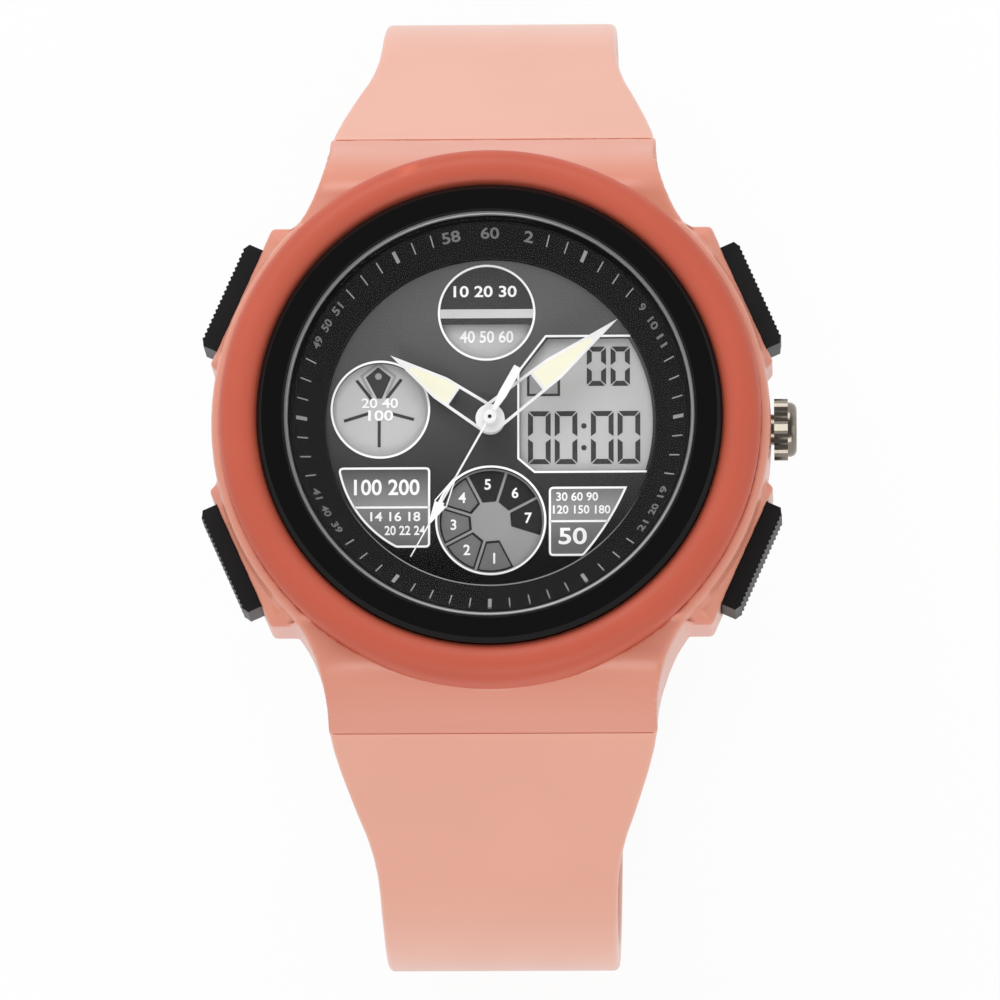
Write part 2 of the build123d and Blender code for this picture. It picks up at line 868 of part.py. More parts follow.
def second_hand():
    arrow = second_hand_length * second_arrow_share
    arm = second_tail_length * second_arm_share
    needle = make_face(Polyline((0, second_line_half), (second_hand_length, second_line_half / 2),
                                (second_hand_length, -second_line_half / 2), (0, -second_line_half),
                                close=True))
    point = make_face(Polyline((arrow - second_arrow_length, second_arrow_half), (arrow, 0),
                               (arrow - second_arrow_length, -second_arrow_half), close=True))
    tail = make_face(Polyline((0, second_line_half), (-arm, second_tail_half),
                              (-second_tail_length, second_tail_half),
                              (-second_tail_length, -second_tail_half),
                              (-arm, -second_tail_half), (0, -second_line_half), close=True))
    body = extrude(needle + point + tail + Circle(second_hub_radius), amount=hand_thickness)
    body -= drum(arbor_radius, -cut_over, hand_thickness + cut_over)
    low = dial_top + second_hand_height - hand_thickness
    return place_hand(Pos(0, 0, low) * body, second_hand_angle)


# Case

def guard_face():
    """One quarter's guard seen from above, with its flat face square to the pusher."""
    corner = (guard_face_x(guard_corner_y), guard_corner_y)
    inner = (guard_face_x(guard_inner_y), guard_inner_y)
    foot = (guard_foot_x, guard_foot_y)
    return make_face(Polyline((0, 0), (0, guard_corner_y), corner, inner, foot, close=True))


def guard_face_x(y):
    angle = radians(pusher_angles[0])
    return (guard_reach - y * sin(angle)) / cos(angle)


def hood_end(side, along, depth):
    """A point of the hood's end, along the strap from the seam and depth under its skin."""
    y = seam_y + along * seam_run - depth * seam_rise
    z = seam_height + along * -seam_rise - depth * seam_run
    return side * y, z


def hood(side):
    crest = side * hood_crest_y
    crest_z = ring_top - hood_crest_depth
    floor = case_floor + hood_floor_rise
    end_top = hood_end(side, 0, 0)
    end_low = hood_end(side, 0, hood_end_thickness)
    middle = (side * ((hood_crest_y + seam_y) / 2 - hood_sag * seam_rise),
              (crest_z + seam_height) / 2 - hood_sag * seam_run)
    skin = ThreePointArc((crest, crest_z), middle, end_top)
    rest = Polyline(end_top, end_low, (side * cavity_radius, floor), (0, floor), (0, crest_z),
                    (crest, crest_z))
    slab = side_slab(make_face(skin + rest), hood_root_half)
    crest_edge = slab.edges().filter_by(Axis.X).sort_by_distance((0, crest, crest_z))[0]
    slab = fillet(crest_edge, hood_crest_round)
    return slab & hood_plan(side)


def hood_plan(side):
    """The hood seen from above: it narrows in a hollow curve from the case to the seam."""
    middle_y = hood_root_y + (seam_y - hood_root_y) * hood_mid_share
    middle_half = hood_seam_half + (hood_root_half - hood_seam_half) * (1 - hood_mid_narrow_share)
    end = side * (seam_y + cut_over)
    edges = []
    for hand in (-1, 1):
        edges.append(Spline((hand * hood_root_half, side * hood_root_y),
                            (hand * middle_half, side * middle_y), (hand * hood_seam_half, end)))
    edges.append(Line((-hood_seam_half, end), (hood_seam_half, end)))
    edges.append(Polyline((-hood_root_half, side * hood_root_y), (-hood_root_half, 0),
                          (hood_root_half, 0), (hood_root_half, side * hood_root_y)))
    outline = make_face(edges)
    return Pos(0, 0, case_floor) * extrude(outline, amount=case_depth)


def tab_room(side, extra):
    """The space in a hood that the strap's tab fills, larger all round by extra."""
    face = make_face(Polyline(
        hood_end(side, cut_over if extra else 0, tab_skin - extra),
        hood_end(side, -tab_length - extra, tab_skin - extra),
        hood_end(side, -tab_length - extra, tab_skin + tab_thickness + extra),
        hood_end(side, cut_over if extra else 0, tab_skin + tab_thickness + extra),
        close=True,
    ))
    return side_slab(face, tab_half + extra)


def seam_room(side):
    """The space past the hood's end, where the strap's own end lies."""
    deep = hood_end_thickness + tab_thickness
    face = make_face(Polyline(hood_end(side, 0, -cut_over), hood_end(side, 0, deep),
                              hood_end(side, tab_length, deep), hood_end(side, tab_length, -cut_over),
                              close=True))
    return side_slab(face, hood_root_half)


def strap_pin(side, radius, length):
    y, z = hood_end(side, -strap_pin_in, tab_skin + tab_thickness / 2)
    return rod_x(radius, -length / 2, length / 2, y, z)


def pusher_room(index):
    """The stepped hole of one pusher: recess, spring well, seal groove and bore."""
    high = pusher_height / 2 + recess_gap
    wide = pusher_length / 2 + recess_gap
    room = block(recess_floor, pusher_reach + cut_over, -wide, wide, -high, high)
    room += rod_x(spring_well_radius, recess_floor - spring_well_depth, recess_floor + cut_over, 0, 0)
    room += rod_x(seal_groove_radius, seal_start, seal_start + seal_width, 0, 0)
    room += rod_x(pusher_stem_radius + running_gap, 0, recess_floor + cut_over, 0, 0)
    return at_pusher(index, room)


def crown_room():
    groove = case_radius - crown_collar_length + crown_travel + 2 * crown_groove_width
    bore = rod_x(crown_collar_radius + running_gap, case_radius - crown_collar_length - face_gap,
                 case_radius + cut_over, 0, crown_height)
    bore += rod_x(crown_groove_radius, groove - crown_groove_width, groove, 0, crown_height)
    return bore + rod_x(stem_radius + running_gap, 0, case_radius, 0, crown_height)


def screw_places():
    for n in range(back_screw_count):
        yield polar(back_screw_circle, back_screw_angle + n * 360 / back_screw_count)


def case_body():
    shell = drum(case_radius, case_floor, rim_top)
    shell = fillet(shell.edges().group_by(Axis.Z)[-1], case_edge_round)
    shell = fillet(shell.edges().group_by(Axis.Z)[0], case_edge_round)
    guard_top = ring_top - guard_depth
    for flip_x in (False, True):
        for flip_y in (False, True):
            guard = extrude(guard_face(), amount=guard_height)
            guard = chamfer(guard.edges().group_by(Axis.Z)[-1], guard_chamfer)
            guard = chamfer(guard.edges().group_by(Axis.Z)[0], guard_chamfer)
            guard = Pos(0, 0, guard_top - guard_height) * guard
            guard = mirror(guard, Plane.YZ) if flip_x else guard
            shell += mirror(guard, Plane.XZ) if flip_y else guard
    shell += hood(1)
    shell += hood(-1)
    shell -= tube(bezel_radius + face_gap, ring_radius, shoulder, ring_top)
    shell += drum(ring_radius, shoulder - cut_over, collar_top)
    shell -= drum(cavity_radius, case_floor - cut_over, ring_top)
    shell -= drum(back_radius + face_gap, case_floor - cut_over, back_top)
    shell -= tube(back_gasket_inner + back_gasket_width, back_gasket_inner, back_top - cut_over,
                  back_top + back_gasket_height)
    for side in (-1, 1):
        shell -= seam_room(side)
        shell -= tab_room(side, face_gap)
        shell -= strap_pin(side, strap_pin_radius + pin_gap, strap_pin_length + 2 * face_gap)
    for index in range(len(pusher_angles)):
        shell -= pusher_room(index)
    shell -= crown_room()
    for x, y in screw_places():
        shell -= drum(back_screw_radius, back_top - cut_over,
                      back_top + back_screw_length + face_gap, x, y)
    return shell


def case_back():
    plate = drum(back_radius, case_floor, back_top)
    plate = chamfer(plate.edges().group_by(Axis.Z)[0], back_thickness / 4)
    for x, y in screw_places():
        plate -= drum(back_screw_radius + pin_gap, case_floor - cut_over, back_top + cut_over, x, y)
        plate -= drum(back_screw_head_radius + pin_gap, case_floor - cut_over,
                      case_floor + back_screw_head_height, x, y)
    return plate


def case_back_gasket():
    return tube(back_gasket_inner + back_gasket_width, back_gasket_inner, back_top,
                back_top + back_gasket_height)


def case_back_screws():
    screws = []
    for x, y in screw_places():
        screw = drum(back_screw_head_radius, case_floor, case_floor + back_screw_head_height, x, y)
        screw += drum(back_screw_radius, case_floor, back_top + back_screw_length, x, y)
        screw -= block(x - back_screw_head_radius, x + back_screw_head_radius, y - back_slot_width / 2,
                       y + back_slot_width / 2, case_floor - cut_over, case_floor + back_slot_depth)
        screws.append(screw)
    return Compound(children=screws)


def buzzer_disc():
    return drum(buzzer_radius, back_top, back_top + buzzer_thickness)


# Crown

def crown():
    start = case_radius + crown_gap
    points = []
    for n in range(2 * crown_flutes):
        radius = crown_radius - crown_flute_depth * (n % 2)
        points.append(polar(radius, n * 180 / crown_flutes))
    band = extrude(make_face(Polyline(*points, close=True)), amount=crown_band)
    band = Pos(start, 0, crown_height) * (Rot(0, 90, 0) * band)
    cap = rod_x(crown_cap_radius, start + crown_band, start + crown_band + crown_cap, 0, crown_height)
    cap = fillet(cap.edges().group_by(Axis.X)[-1], crown_cap_round)
    collar = rod_x(crown_collar_radius, case_radius - crown_collar_length, start, 0, crown_height)
    bore = rod_x(stem_radius, 0, start + stem_in_crown - crown_travel, 0, crown_height)
    return band + cap + collar - bore


def crown_stem():
    end = case_radius + crown_gap + stem_in_crown - crown_travel
    stem = rod_x(stem_radius, stem_end, end, 0, crown_height)
    ring = rod_x(stem_radius + cut_over, yoke_start - side_gap, yoke_start + yoke_thickness + side_gap,
                 0, crown_height)
    return stem - (ring - rod_x(stem_notch_radius, 0, case_radius, 0, crown_height))


def crown_gasket():
    groove = case_radius - crown_collar_length + crown_travel + 2 * crown_groove_width
    radius = crown_collar_radius + crown_seal_radius + pin_gap
    return torus_x(radius, crown_seal_radius, groove - crown_groove_width / 2, 0, crown_height)


def setting_yoke():
    """The fork that grips the stem's notch and slides with it on the train bridge."""
    plate = block(yoke_start, yoke_start + yoke_thickness, -yoke_width / 2, yoke_width / 2,
                  bridge_top + side_gap, bridge_top + side_gap + yoke_height)
    slot = stem_notch_radius + running_gap
    plate -= rod_x(slot, 0, case_radius, 0, crown_height)
    return plate - block(0, case_radius, -slot, slot, bridge_bottom, crown_height)


# Pushers

def pusher(index):
    base = pusher_reach - pusher_body
    half = pusher_length / 2
    pitch = (pusher_length - 2 * pusher_corner_round) / pusher_ribs
    points = [(base, -half), (pusher_reach - pusher_corner_round, -half)]
    for n in range(pusher_ribs):
        low = -half + pusher_corner_round + n * pitch
        points.append((pusher_reach - pusher_rib_depth, low))
        points.append((pusher_reach, low + pitch / 2))
    points.append((pusher_reach - pusher_rib_depth, half - pusher_corner_round))
    points.append((pusher_reach - pusher_corner_round, half))
    points.append((base, half))
    head = extrude(make_face(Polyline(*points, close=True)), amount=pusher_height / 2, both=True)
    stem = rod_x(pusher_stem_radius, pusher_stem_end, base, 0, 0)
    neck = clip_thickness + 2 * pin_gap
    notch = rod_x(clip_radius, clip_reach - pin_gap, clip_reach - pin_gap + neck, 0, 0)
    stem -= notch - rod_x(pusher_stem_radius / 2, 0, base, 0, 0)
    return at_pusher(index, head + stem)


def pusher_clip(index):
    clip = rod_x(clip_radius, clip_reach, clip_reach + clip_thickness, 0, 0)
    return at_pusher(index, clip - rod_x(pusher_stem_radius / 2, 0, pusher_reach, 0, 0))


def pusher_seals():
    radius = pusher_stem_radius + seal_wire + pin_gap / 2
    rings = []
    for index in range(len(pusher_angles)):
        rings.append(at_pusher(index, torus_x(radius, seal_wire, seal_start + seal_width / 2, 0, 0)))
    return Compound(children=rings)


def pusher_spring():
    start = recess_floor - spring_well_depth + spring_wire + pin_gap
    end = pusher_reach - pusher_body - spring_wire - pin_gap
    pitch = (end - start) / spring_turns
    path = Helix(pitch=pitch, height=end - start, radius=spring_radius)
    section = Plane(path @ 0, z_dir=path % 0) * Circle(spring_wire)
    coil = sweep(section, path=path, is_frenet=True)
    return Pos(start, 0, 0) * (Rot(0, 90, 0) * coil)


def pusher_springs():
    coils = []
    for index in range(len(pusher_angles)):
        coils.append(at_pusher(index, pusher_spring()))
    return Compound(children=coils)


# Strap

def strap_plan(tail_half):
    """The strap seen along Y: wide at the case, narrowing down each side."""
    points = [(strap_root_half, seam_height + strap_end_thickness)]
    points.append((strap_root_half, seam_height))
    for drop, share in zip(strap_taper_drops, strap_taper_shares):
        half = strap_half_width + (strap_root_half - strap_half_width) * share
        points.append((half, seam_height - drop))
    right = Spline(*points[1:], tangents=[(strap_half_width - strap_root_half, -strap_taper_drops[1]),
                                          (0, -1)])
    bottom = seam_height - strap_taper_drops[-1]
    face = make_face([
        right,
        Polyline((strap_half_width, bottom), (tail_half, -cut_over), (0, -cut_over),
                 (0, points[0][1]), points[0], points[1]),
    ])
    half_body = extrude(Plane.XZ * face, amount=2 * loop_reach, both=True)
    return half_body + mirror(half_body, Plane.YZ)


def corner_arc(side, reach, flat_y, bottom):
    """The loop's lower corner: a quarter round from its widest point to the flat."""
    start = 270 if side > 0 else 180
    return EllipticalCenterArc((side * flat_y, loop_reach_height), reach - flat_y,
                               loop_reach_height - bottom, start, arc_size=90)


def side_arc(side, radius):
    """The loop's side, from the end of the straight run to the widest point."""
    middle = (pi / 2 - strap_slope) / 2
    return ThreePointArc(
        (side * (side_centre_y + radius * seam_rise), loop_reach_height + radius * seam_run),
        (side * (side_centre_y + radius * cos(middle)), loop_reach_height + radius * sin(middle)),
        (side * (side_centre_y + radius), loop_reach_height),
    )


def strap_side(side, outer_bottom):
    """The edges of one side of the loop, outer skin and inner skin, down to the flat."""
    flat_y = loop_flat_half + outer_bottom
    inner_radius = strap_side_radius - strap_thickness
    inner_bottom = outer_bottom + strap_thickness
    start = hood_end(side, seam_gap, 0)
    in_start = hood_end(side, seam_gap, strap_end_thickness)
    side_start = (side * side_start_y, side_start_z)
    in_side = (side * (side_centre_y + inner_radius * seam_rise), loop_reach_height + inner_radius * seam_run)
    outer = [Line(start, side_start), side_arc(side, strap_side_radius),
             corner_arc(side, loop_reach, flat_y, outer_bottom)]
    inner = [Line(in_start, in_side), side_arc(side, inner_radius),
             corner_arc(side, loop_reach - strap_thickness, flat_y, inner_bottom)]
    return outer, inner, start, in_start, (side * flat_y, outer_bottom), (side * flat_y, inner_bottom)


def strap_root(side, body):
    """Adds the tab that goes into the hood, with its bore for the strap pin."""
    neck = make_face(Polyline(
        hood_end(side, 2 * seam_gap, tab_skin), hood_end(side, -tab_length, tab_skin),
        hood_end(side, -tab_length, tab_skin + tab_thickness),
        hood_end(side, 2 * seam_gap, tab_skin + tab_thickness), close=True))
    body += side_slab(neck, tab_half)
    return body - strap_pin(side, strap_pin_radius + pin_gap, strap_pin_length + cut_over)


def strap_upper():
    """The 12 o'clock half: it ends in two knuckles round the buckle's pin."""
    outer, inner, start, in_start, flat, in_flat = strap_side(1, upper_outer)
    end = bar_y
    tip = ThreePointArc((end, upper_outer), (end - strap_thickness / 2, bar_height), (end, upper_inner))
    face = make_face(outer + inner + [Line(start, in_start), Line(flat, (end, upper_outer)), tip,
                                      Line((end, upper_inner), in_flat)])
    body = side_slab(face, strap_root_half) & strap_plan(strap_half_width)
    body = strap_root(1, body)
    body -= rod_x(bar_radius + pin_gap, -buckle_half, buckle_half, bar_y, bar_height)
    room = tongue_eye_radius + knuckle_gap
    half = tongue_half + knuckle_gap
    body -= block(-half, half, bar_y - 2 * room, bar_y + room, 0, upper_inner + cut_over)
    return body - drum(nib_radius + pin_gap, upper_inner - nib_height - face_gap, upper_inner + cut_over)


def wave(start, end):
    """A smooth step between two level stretches of the strap."""
    return Spline(start, end, tangents=[(1, 0), (1, 0)])


def strap_lower():
    """The 6 o'clock half: over the buckle's crossbar, under its pin, and on as the tail."""
    outer, inner, start, in_start, flat, in_flat = strap_side(-1, 0)
    rise = crossbar_y - crossbar_width / 2
    fall = crossbar_y + crossbar_width / 2
    level = bar_y - tongue_eye_radius
    low = [Line(flat, (foot_y + face_gap, 0)), wave((foot_y + face_gap, 0), (rise, pass_height)),
           Line((rise, pass_height), (fall, pass_height)), wave((fall, pass_height), (level, tail_outer)),
           Line((level, tail_outer), (strap_tail_end, tail_outer))]
    t = strap_thickness
    high = [Line(in_flat, (foot_y + face_gap, t)), wave((foot_y + face_gap, t), (rise, pass_height + t)),
            Line((rise, pass_height + t), (fall, pass_height + t)),
            wave((fall, pass_height + t), (level, tail_inner)),
            Line((level, tail_inner), (strap_tail_end, tail_inner))]
    tip = Line((strap_tail_end, tail_outer), (strap_tail_end, tail_inner))
    face = make_face(outer + inner + low + high + [Line(start, in_start), tip])
    body = side_slab(face, strap_root_half) & strap_plan(strap_half_width)
    corners = body.edges().filter_by(Axis.Z).filter_by_position(
        Axis.Y, strap_tail_end - face_gap, strap_tail_end + face_gap)
    body = fillet(corners, strap_tail_round)
    body = strap_root(-1, body)
    for n in range(-holes_behind, holes_in_tail):
        body -= strap_hole(bar_y - hole_offset + n * hole_pitch)
    return body


def strap_hole(y):
    """One adjustment hole; past the foot line it follows the loop's lower corner."""
    place = max(y, foot_y)
    hole = block(-hole_half, hole_half, place - hole_length / 2, place + hole_length / 2, -cut_over,
                 pass_height + strap_thickness + cut_over)
    turn = degrees((y - place) / loop_reach_height)
    pivot = Pos(0, foot_y, loop_reach_height)
    return pivot * Rot(turn, 0, 0) * Pos(0, -foot_y, -loop_reach_height) * hole


def strap_pins():
    pins = [strap_pin(1, strap_pin_radius, strap_pin_length), strap_pin(-1, strap_pin_radius,
                                                                         strap_pin_length)]
    return Compound(children=pins)


# Buckle and keepers

def buckle_pin():
    return rod_x(bar_radius, -buckle_half + face_gap, buckle_half - face_gap, bar_y, bar_height)


def buckle_frame():
    eye = bar_radius + crossbar_thickness / 2
    outline = make_face([
        ThreePointArc((bar_y, bar_height + eye), (bar_y + eye, bar_height), (bar_y, bar_height - eye)),
        Polyline((bar_y, bar_height - eye), (crossbar_y + crossbar_width / 2, crossbar_lift),
                 (crossbar_y - crossbar_width / 2, crossbar_lift),
                 (crossbar_y - crossbar_width / 2, crossbar_top), (bar_y, bar_height + eye)),
    ])
    frame = side_slab(outline, buckle_half)
    clear = strap_half_width + buckle_side / 4
    frame -= block(-clear, clear, crossbar_y + crossbar_width / 2, bar_y + buckle_reach, -cut_over,
                   upper_inner + buckle_reach)
    frame -= block(-clear, clear, crossbar_y - buckle_reach, bar_y + buckle_reach, crossbar_top,
                   upper_inner + buckle_reach)
    frame -= block(-notch_half, notch_half, crossbar_y - buckle_reach, bar_y, -cut_over,
                   crossbar_lift + notch_depth)
    return frame - rod_x(bar_radius, -buckle_half + face_gap, buckle_half - face_gap, bar_y, bar_height)


def buckle_tongue():
    eye = rod_x(tongue_eye_radius, -tongue_half, tongue_half, bar_y, bar_height)
    t = tongue_thickness
    floor = crossbar_lift + notch_depth - t - face_gap
    tip_y = crossbar_y - crossbar_width / 2
    root_y = bar_y - tongue_eye_radius
    bend_y = bar_y - hole_offset - t
    prong = make_face(Polyline(
        (root_y, bar_height), (bend_y - t, floor + t), (tip_y, floor + t), (tip_y, floor),
        (bend_y, floor), (root_y + t / 2, bar_height - tongue_eye_radius * prong_root_share),
        (bar_y, bar_height), close=True))
    body = eye + side_slab(prong, tongue_half)
    return body - rod_x(bar_radius + running_gap, -buckle_half, buckle_half, bar_y, bar_height)


def keeper(y):
    inner_half = strap_half_width + keeper_gap
    outer_half = inner_half + keeper_thickness
    high = upper_inner + keeper_gap
    loop = block(-outer_half, outer_half, y - keeper_width / 2, y + keeper_width / 2, 0,
                 high + keeper_thickness)
    loop = fillet(loop.edges().filter_by(Axis.Y), keeper_round)
    return loop - block(-inner_half, inner_half, y - keeper_width, y + keeper_width, keeper_inner, high)


def fixed_keeper():
    nib = drum(nib_radius, upper_inner - nib_height, upper_inner + keeper_gap + cut_over / 2)
    return keeper(0) + nib


def sliding_keeper():
    return keeper(slider_y)


def all_pieces():
    pieces = {
        "case_body": case_body(),
        "bezel": bezel(),
        "crystal_ring": crystal_ring(),
        "crystal_glass": crystal_glass(),
        "crystal_gasket": crystal_gasket(),
        "chapter_ring": chapter_ring(),
        "case_back": case_back(),
        "case_back_gasket": case_back_gasket(),
        "case_back_screws": case_back_screws(),
        "buzzer_disc": buzzer_disc(),
        "dial_plate": dial_plate(),
        "lcd_panel": lcd_panel(),
        "backlight_panel": backlight_panel(),
        "conductive_strips": conductive_strips(),
        "hour_hand": hour_hand(),
        "hour_lume": hour_lume(),
        "minute_hand": minute_hand(),
        "minute_lume": minute_lume(),
        "second_hand": second_hand(),
        "module_frame": module_frame(),
        "circuit_board": circuit_board(),
        "chip_cover": chip_cover(),
        "quartz_can": quartz_can(),
        "battery": battery(),
        "battery_clamp": battery_clamp(),
        "button_contacts": button_contacts(),
        "movement_plate": movement_plate(),
        "train_bridge": train_bridge(),
        "motor_coil": motor_coil(),
        "motor_stator": motor_stator(),
        "rotor": rotor(),
        "fifth_wheel": fifth_wheel(),
        "second_wheel": second_wheel(),
        "third_wheel": third_wheel(),
        "centre_wheel": centre_wheel(),
        "minute_wheel": minute_wheel(),
        "hour_wheel": hour_wheel(),
        "crown": crown(),
        "crown_stem": crown_stem(),
        "crown_gasket": crown_gasket(),
        "setting_yoke": setting_yoke(),
        "pusher_seals": pusher_seals(),
        "pusher_springs": pusher_springs(),
        "strap_upper": strap_upper(),
        "strap_lower": strap_lower(),
        "strap_pins": strap_pins(),
        "buckle_frame": buckle_frame(),
        "buckle_tongue": buckle_tongue(),
        "buckle_pin": buckle_pin(),
        "fixed_keeper": fixed_keeper(),
        "sliding_keeper": sliding_keeper(),
    }
    for index, name in enumerate(pusher_names):
        pieces["pusher_" + name] = pusher(index)
        pieces["pusher_clip_" + name] = pusher_clip(index)
    return pieces


def main():
    os.makedirs("parts", exist_ok=True)
    for name, piece in all_pieces().items():
        export_step(piece, os.path.join("parts", name + ".step"))


main()
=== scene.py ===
"""Finish, prints and studio of a resin ana-digi wristwatch, laid out as a Blender add-on.

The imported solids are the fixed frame: every piece here is placed from their boxes, in metres.
+Z is out of the dial, +X towards 3 o'clock and +Y towards 12 o'clock.
"""
import json
from math import acos, atan2, cos, hypot, pi, radians, sin, sqrt, tan

import bmesh
import bpy
from bpy.props import FloatProperty, FloatVectorProperty, PointerProperty
from mathutils import Matrix, Vector


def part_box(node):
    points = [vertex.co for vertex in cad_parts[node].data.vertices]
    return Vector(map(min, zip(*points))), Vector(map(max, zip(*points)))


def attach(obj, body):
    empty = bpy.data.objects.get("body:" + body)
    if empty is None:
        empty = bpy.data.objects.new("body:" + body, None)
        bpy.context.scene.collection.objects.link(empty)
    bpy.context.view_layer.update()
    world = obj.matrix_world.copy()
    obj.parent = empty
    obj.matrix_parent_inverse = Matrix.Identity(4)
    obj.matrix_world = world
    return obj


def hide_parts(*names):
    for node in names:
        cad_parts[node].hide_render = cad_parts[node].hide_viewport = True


bl_info = {
    "name": "Ana-digi watch finish",
    "version": (1, 0, 0),
    "blender": (4, 5, 0),
    "location": "3D View > Sidebar > Watch",
    "description": "Dresses the watch's solids, prints its dial and sets up its studio",
    "category": "Object",
}

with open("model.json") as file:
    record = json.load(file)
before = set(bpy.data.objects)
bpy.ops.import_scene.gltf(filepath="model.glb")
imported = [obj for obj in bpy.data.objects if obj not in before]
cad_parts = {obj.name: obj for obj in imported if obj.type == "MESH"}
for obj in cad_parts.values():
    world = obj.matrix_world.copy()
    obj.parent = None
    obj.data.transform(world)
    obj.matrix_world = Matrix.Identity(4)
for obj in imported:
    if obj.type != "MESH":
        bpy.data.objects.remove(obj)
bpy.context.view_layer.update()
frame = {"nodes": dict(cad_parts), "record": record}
MM = 0.001
WHITE = (1, 1, 1, 1)

# Boxes and levels of the frame, in millimetres
GLASS, DIAL, PANEL, CHAPTER, RING = (
    [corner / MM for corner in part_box(node)]
    for node in ("crystal_glass", "dial_plate", "lcd_panel", "chapter_ring", "crystal_ring"))
DIAL_TOP = DIAL[1].z
PANEL_TOP = PANEL[1].z
SECOND_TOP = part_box("second_hand")[1].z / MM

# The sloping face of the chapter ring, from its inner edge to its land
SLOPE_INNER = 13.85
SLOPE_OUTER = 16.4
SLOPE_RISE = 0.35

# The dial's grey fades between these heights
DIAL_FADE = (-11.6, 13.5)

# Prints: thickness of the ink and of the raised outlines; the letters' weight; limits for sharp corners
INK = 0.03
RAISED = 0.05
OUTLINE_WIDTH = 0.18
LETTER_WEIGHT = 0.018
LETTER_STEPS = 4
ARC_STEPS = 64
MITRE_LIMIT = 0.3
BLUNT_ANGLE = 0.3

# Top disc of the dial
TOP_DISC = (-0.35, 9.37)
TOP_DISC_LINE = 4.01
TOP_DISC_FILL = 3.9
TOP_BAR = (8.9, 9.66)
TOP_DARK_LINE = (8.36, 8.9)

# Left disc
LEFT_DISC = (-9.27, 1.14)
LEFT_DISC_LINE = 4.09
SPOKE_WIDTH = 0.26
SPOKES = (((-2.03, 2.61), (-0.75, 0.95)), ((1.74, 2.69), (0.5, 1.05)), ((-3.08, -0.86), (-0.95, -0.2)),
          ((2.8, -0.75), (0.8, -0.2)), ((-0.12, -0.7), (-0.12, -3.1)))
KITE = ((-0.22, 3.73), (-1.26, 2.85), (-0.3, 1.05), (0.1, 1.05), (0.87, 2.85))
KITE_DOT = (-0.19, 2.94, 0.28)
KITE_BORDER = ((-0.75, 1.3), (-1.62, 2.95), (-0.22, 4.05), (1.22, 2.95), (0.48, 1.3))
KITE_BORDER_WIDTH = 0.22

# Weekday disc
DAY_DISC = (0.0, -8.33)
DAY_DISC_LINE = 4.57
DAY_INNER = 1.75
DAY_OUTER = 4.3
DAY_STEP = 45.0
DAY_START = 275.0
DAY_COUNT = 7
DAY_DARK = (5, 6, 7)
DAY_WORD_RADIUS = 3.15
DAY_WORD_HEIGHT = 0.9
DAY_GAP = 0.11
DAY_GROUND = 4.55
DAY_FILL_INNER = 1.93
DAY_FILL_OUTER = 4.16
DAY_FILL_GAP = 0.26

# Display window, its outline and digits
WINDOW_LINE = ((11.72, 7.335), (4.62, 7.335), (2.315, 4.31), (2.315, -3.08), (3.68, -4.235), (13.08, -4.235))
BIG_DIGITS = (3.11, 5.35, 8.39, 10.63)
BIG_DIGIT_SIZE = (1.9, 4.5)
BIG_DIGIT_BASE = -3.47
SMALL_DIGITS = (8.05, 10.05)
SMALL_DIGIT_SIZE = (1.62, 3.35)
SMALL_DIGIT_BASE = 3.18
COLON_X = 7.8
COLON_Y = (-0.23, -2.09)
DOT_RADIUS = 0.23
SEGMENT_WIDTH = 0.42
SEGMENT_GAP = 0.1
SIGN_BOX = (3.13, 5.7, 2.43, 4.17)

# Boxes at the lower left and lower right
LEFT_BOX = (-12.72, -7.9, -5.17, -10.53, -3.88)
LEFT_BOX_SAG = 0.95
LEFT_BOX_BAR = -7.2
RIGHT_BOX = (4.96, 11.3, 7.72, -11.3, -5.6)
RIGHT_BOX_SAG = 0.25
RIGHT_BOX_BAR = -8.44
BOX_CORNER = 0.32
UPPER_BOX_FADE = (-7.2, -4.0)
LOWER_BOX_FADE = (-10.4, -7.4)

# Plain numbers: text, height, width and place, on the dial and in the round windows
DIAL_WORDS = (
    ("10 20 30", 0.97, 5.3, (-0.48, 11.18)),
    ("100 200", 1.35, 5.5, (-8.72, -5.49)),
    ("14 16 18", 0.8, 4.2, (-8.0, -7.98)),
    ("20 22 24", 0.8, 3.4, (-7.2, -9.16)),
    ("30 60 90", 0.74, 3.5, (7.24, -6.35)),
    ("120 150 180", 0.72, 4.8, (7.62, -7.45)),
    ("50", 1.43, 2.36, (6.87, -9.7)),
)
DISC_WORDS = (
    ("20 40", 0.84, 3.05, (-9.34, 1.8)),
    ("100", 0.9, 2.1, (-9.27, 0.74)),
    ("40 50 60", 1.05, 4.5, (-0.37, 7.42)),
)

# Minute track on the chapter ring: minutes that carry a numeral have no tick
TRACK_INNER = 15.35
TRACK_OUTER = 16.2
TICK_HALF = 0.05
BROAD_TICK_HALF = 0.15
BROAD_TICKS = (5, 15, 25, 30, 35, 45, 55)
BARE_MINUTES = (59, 1)
NUMERAL_MINUTES = (9, 10, 11, 19, 20, 21, 39, 40, 41, 49, 50, 51)
TOP_NUMERAL_MINUTES = (58, 0, 2)
NUMERAL_RADIUS = 15.8
NUMERAL_HEIGHT = 0.88
NUMERAL_WIDTH = 1.0
TOP_NUMERAL_RADIUS = 15.72
TOP_NUMERAL_HEIGHT = 1.2

# Painted highlight line where the chapter ring meets the dial, light towards 6 o'clock: radius, width and the
# heights it fades between
RING_EDGE_HIGHLIGHT = (13.93, 0.09)
RING_EDGE_HIGHLIGHT_FADE = (-12.5, -6.0)

# Floor: half its size in metres, and the share of its white that doesn't depend on the lamps
FLOOR_HALF = 3.0
FLOOR_GLOW = 0.92

# Ceiling that reflections see: the two heights between which it darkens, and its brightness at each
CEILING = (0.15, 0.85, 1.0, 0.22)

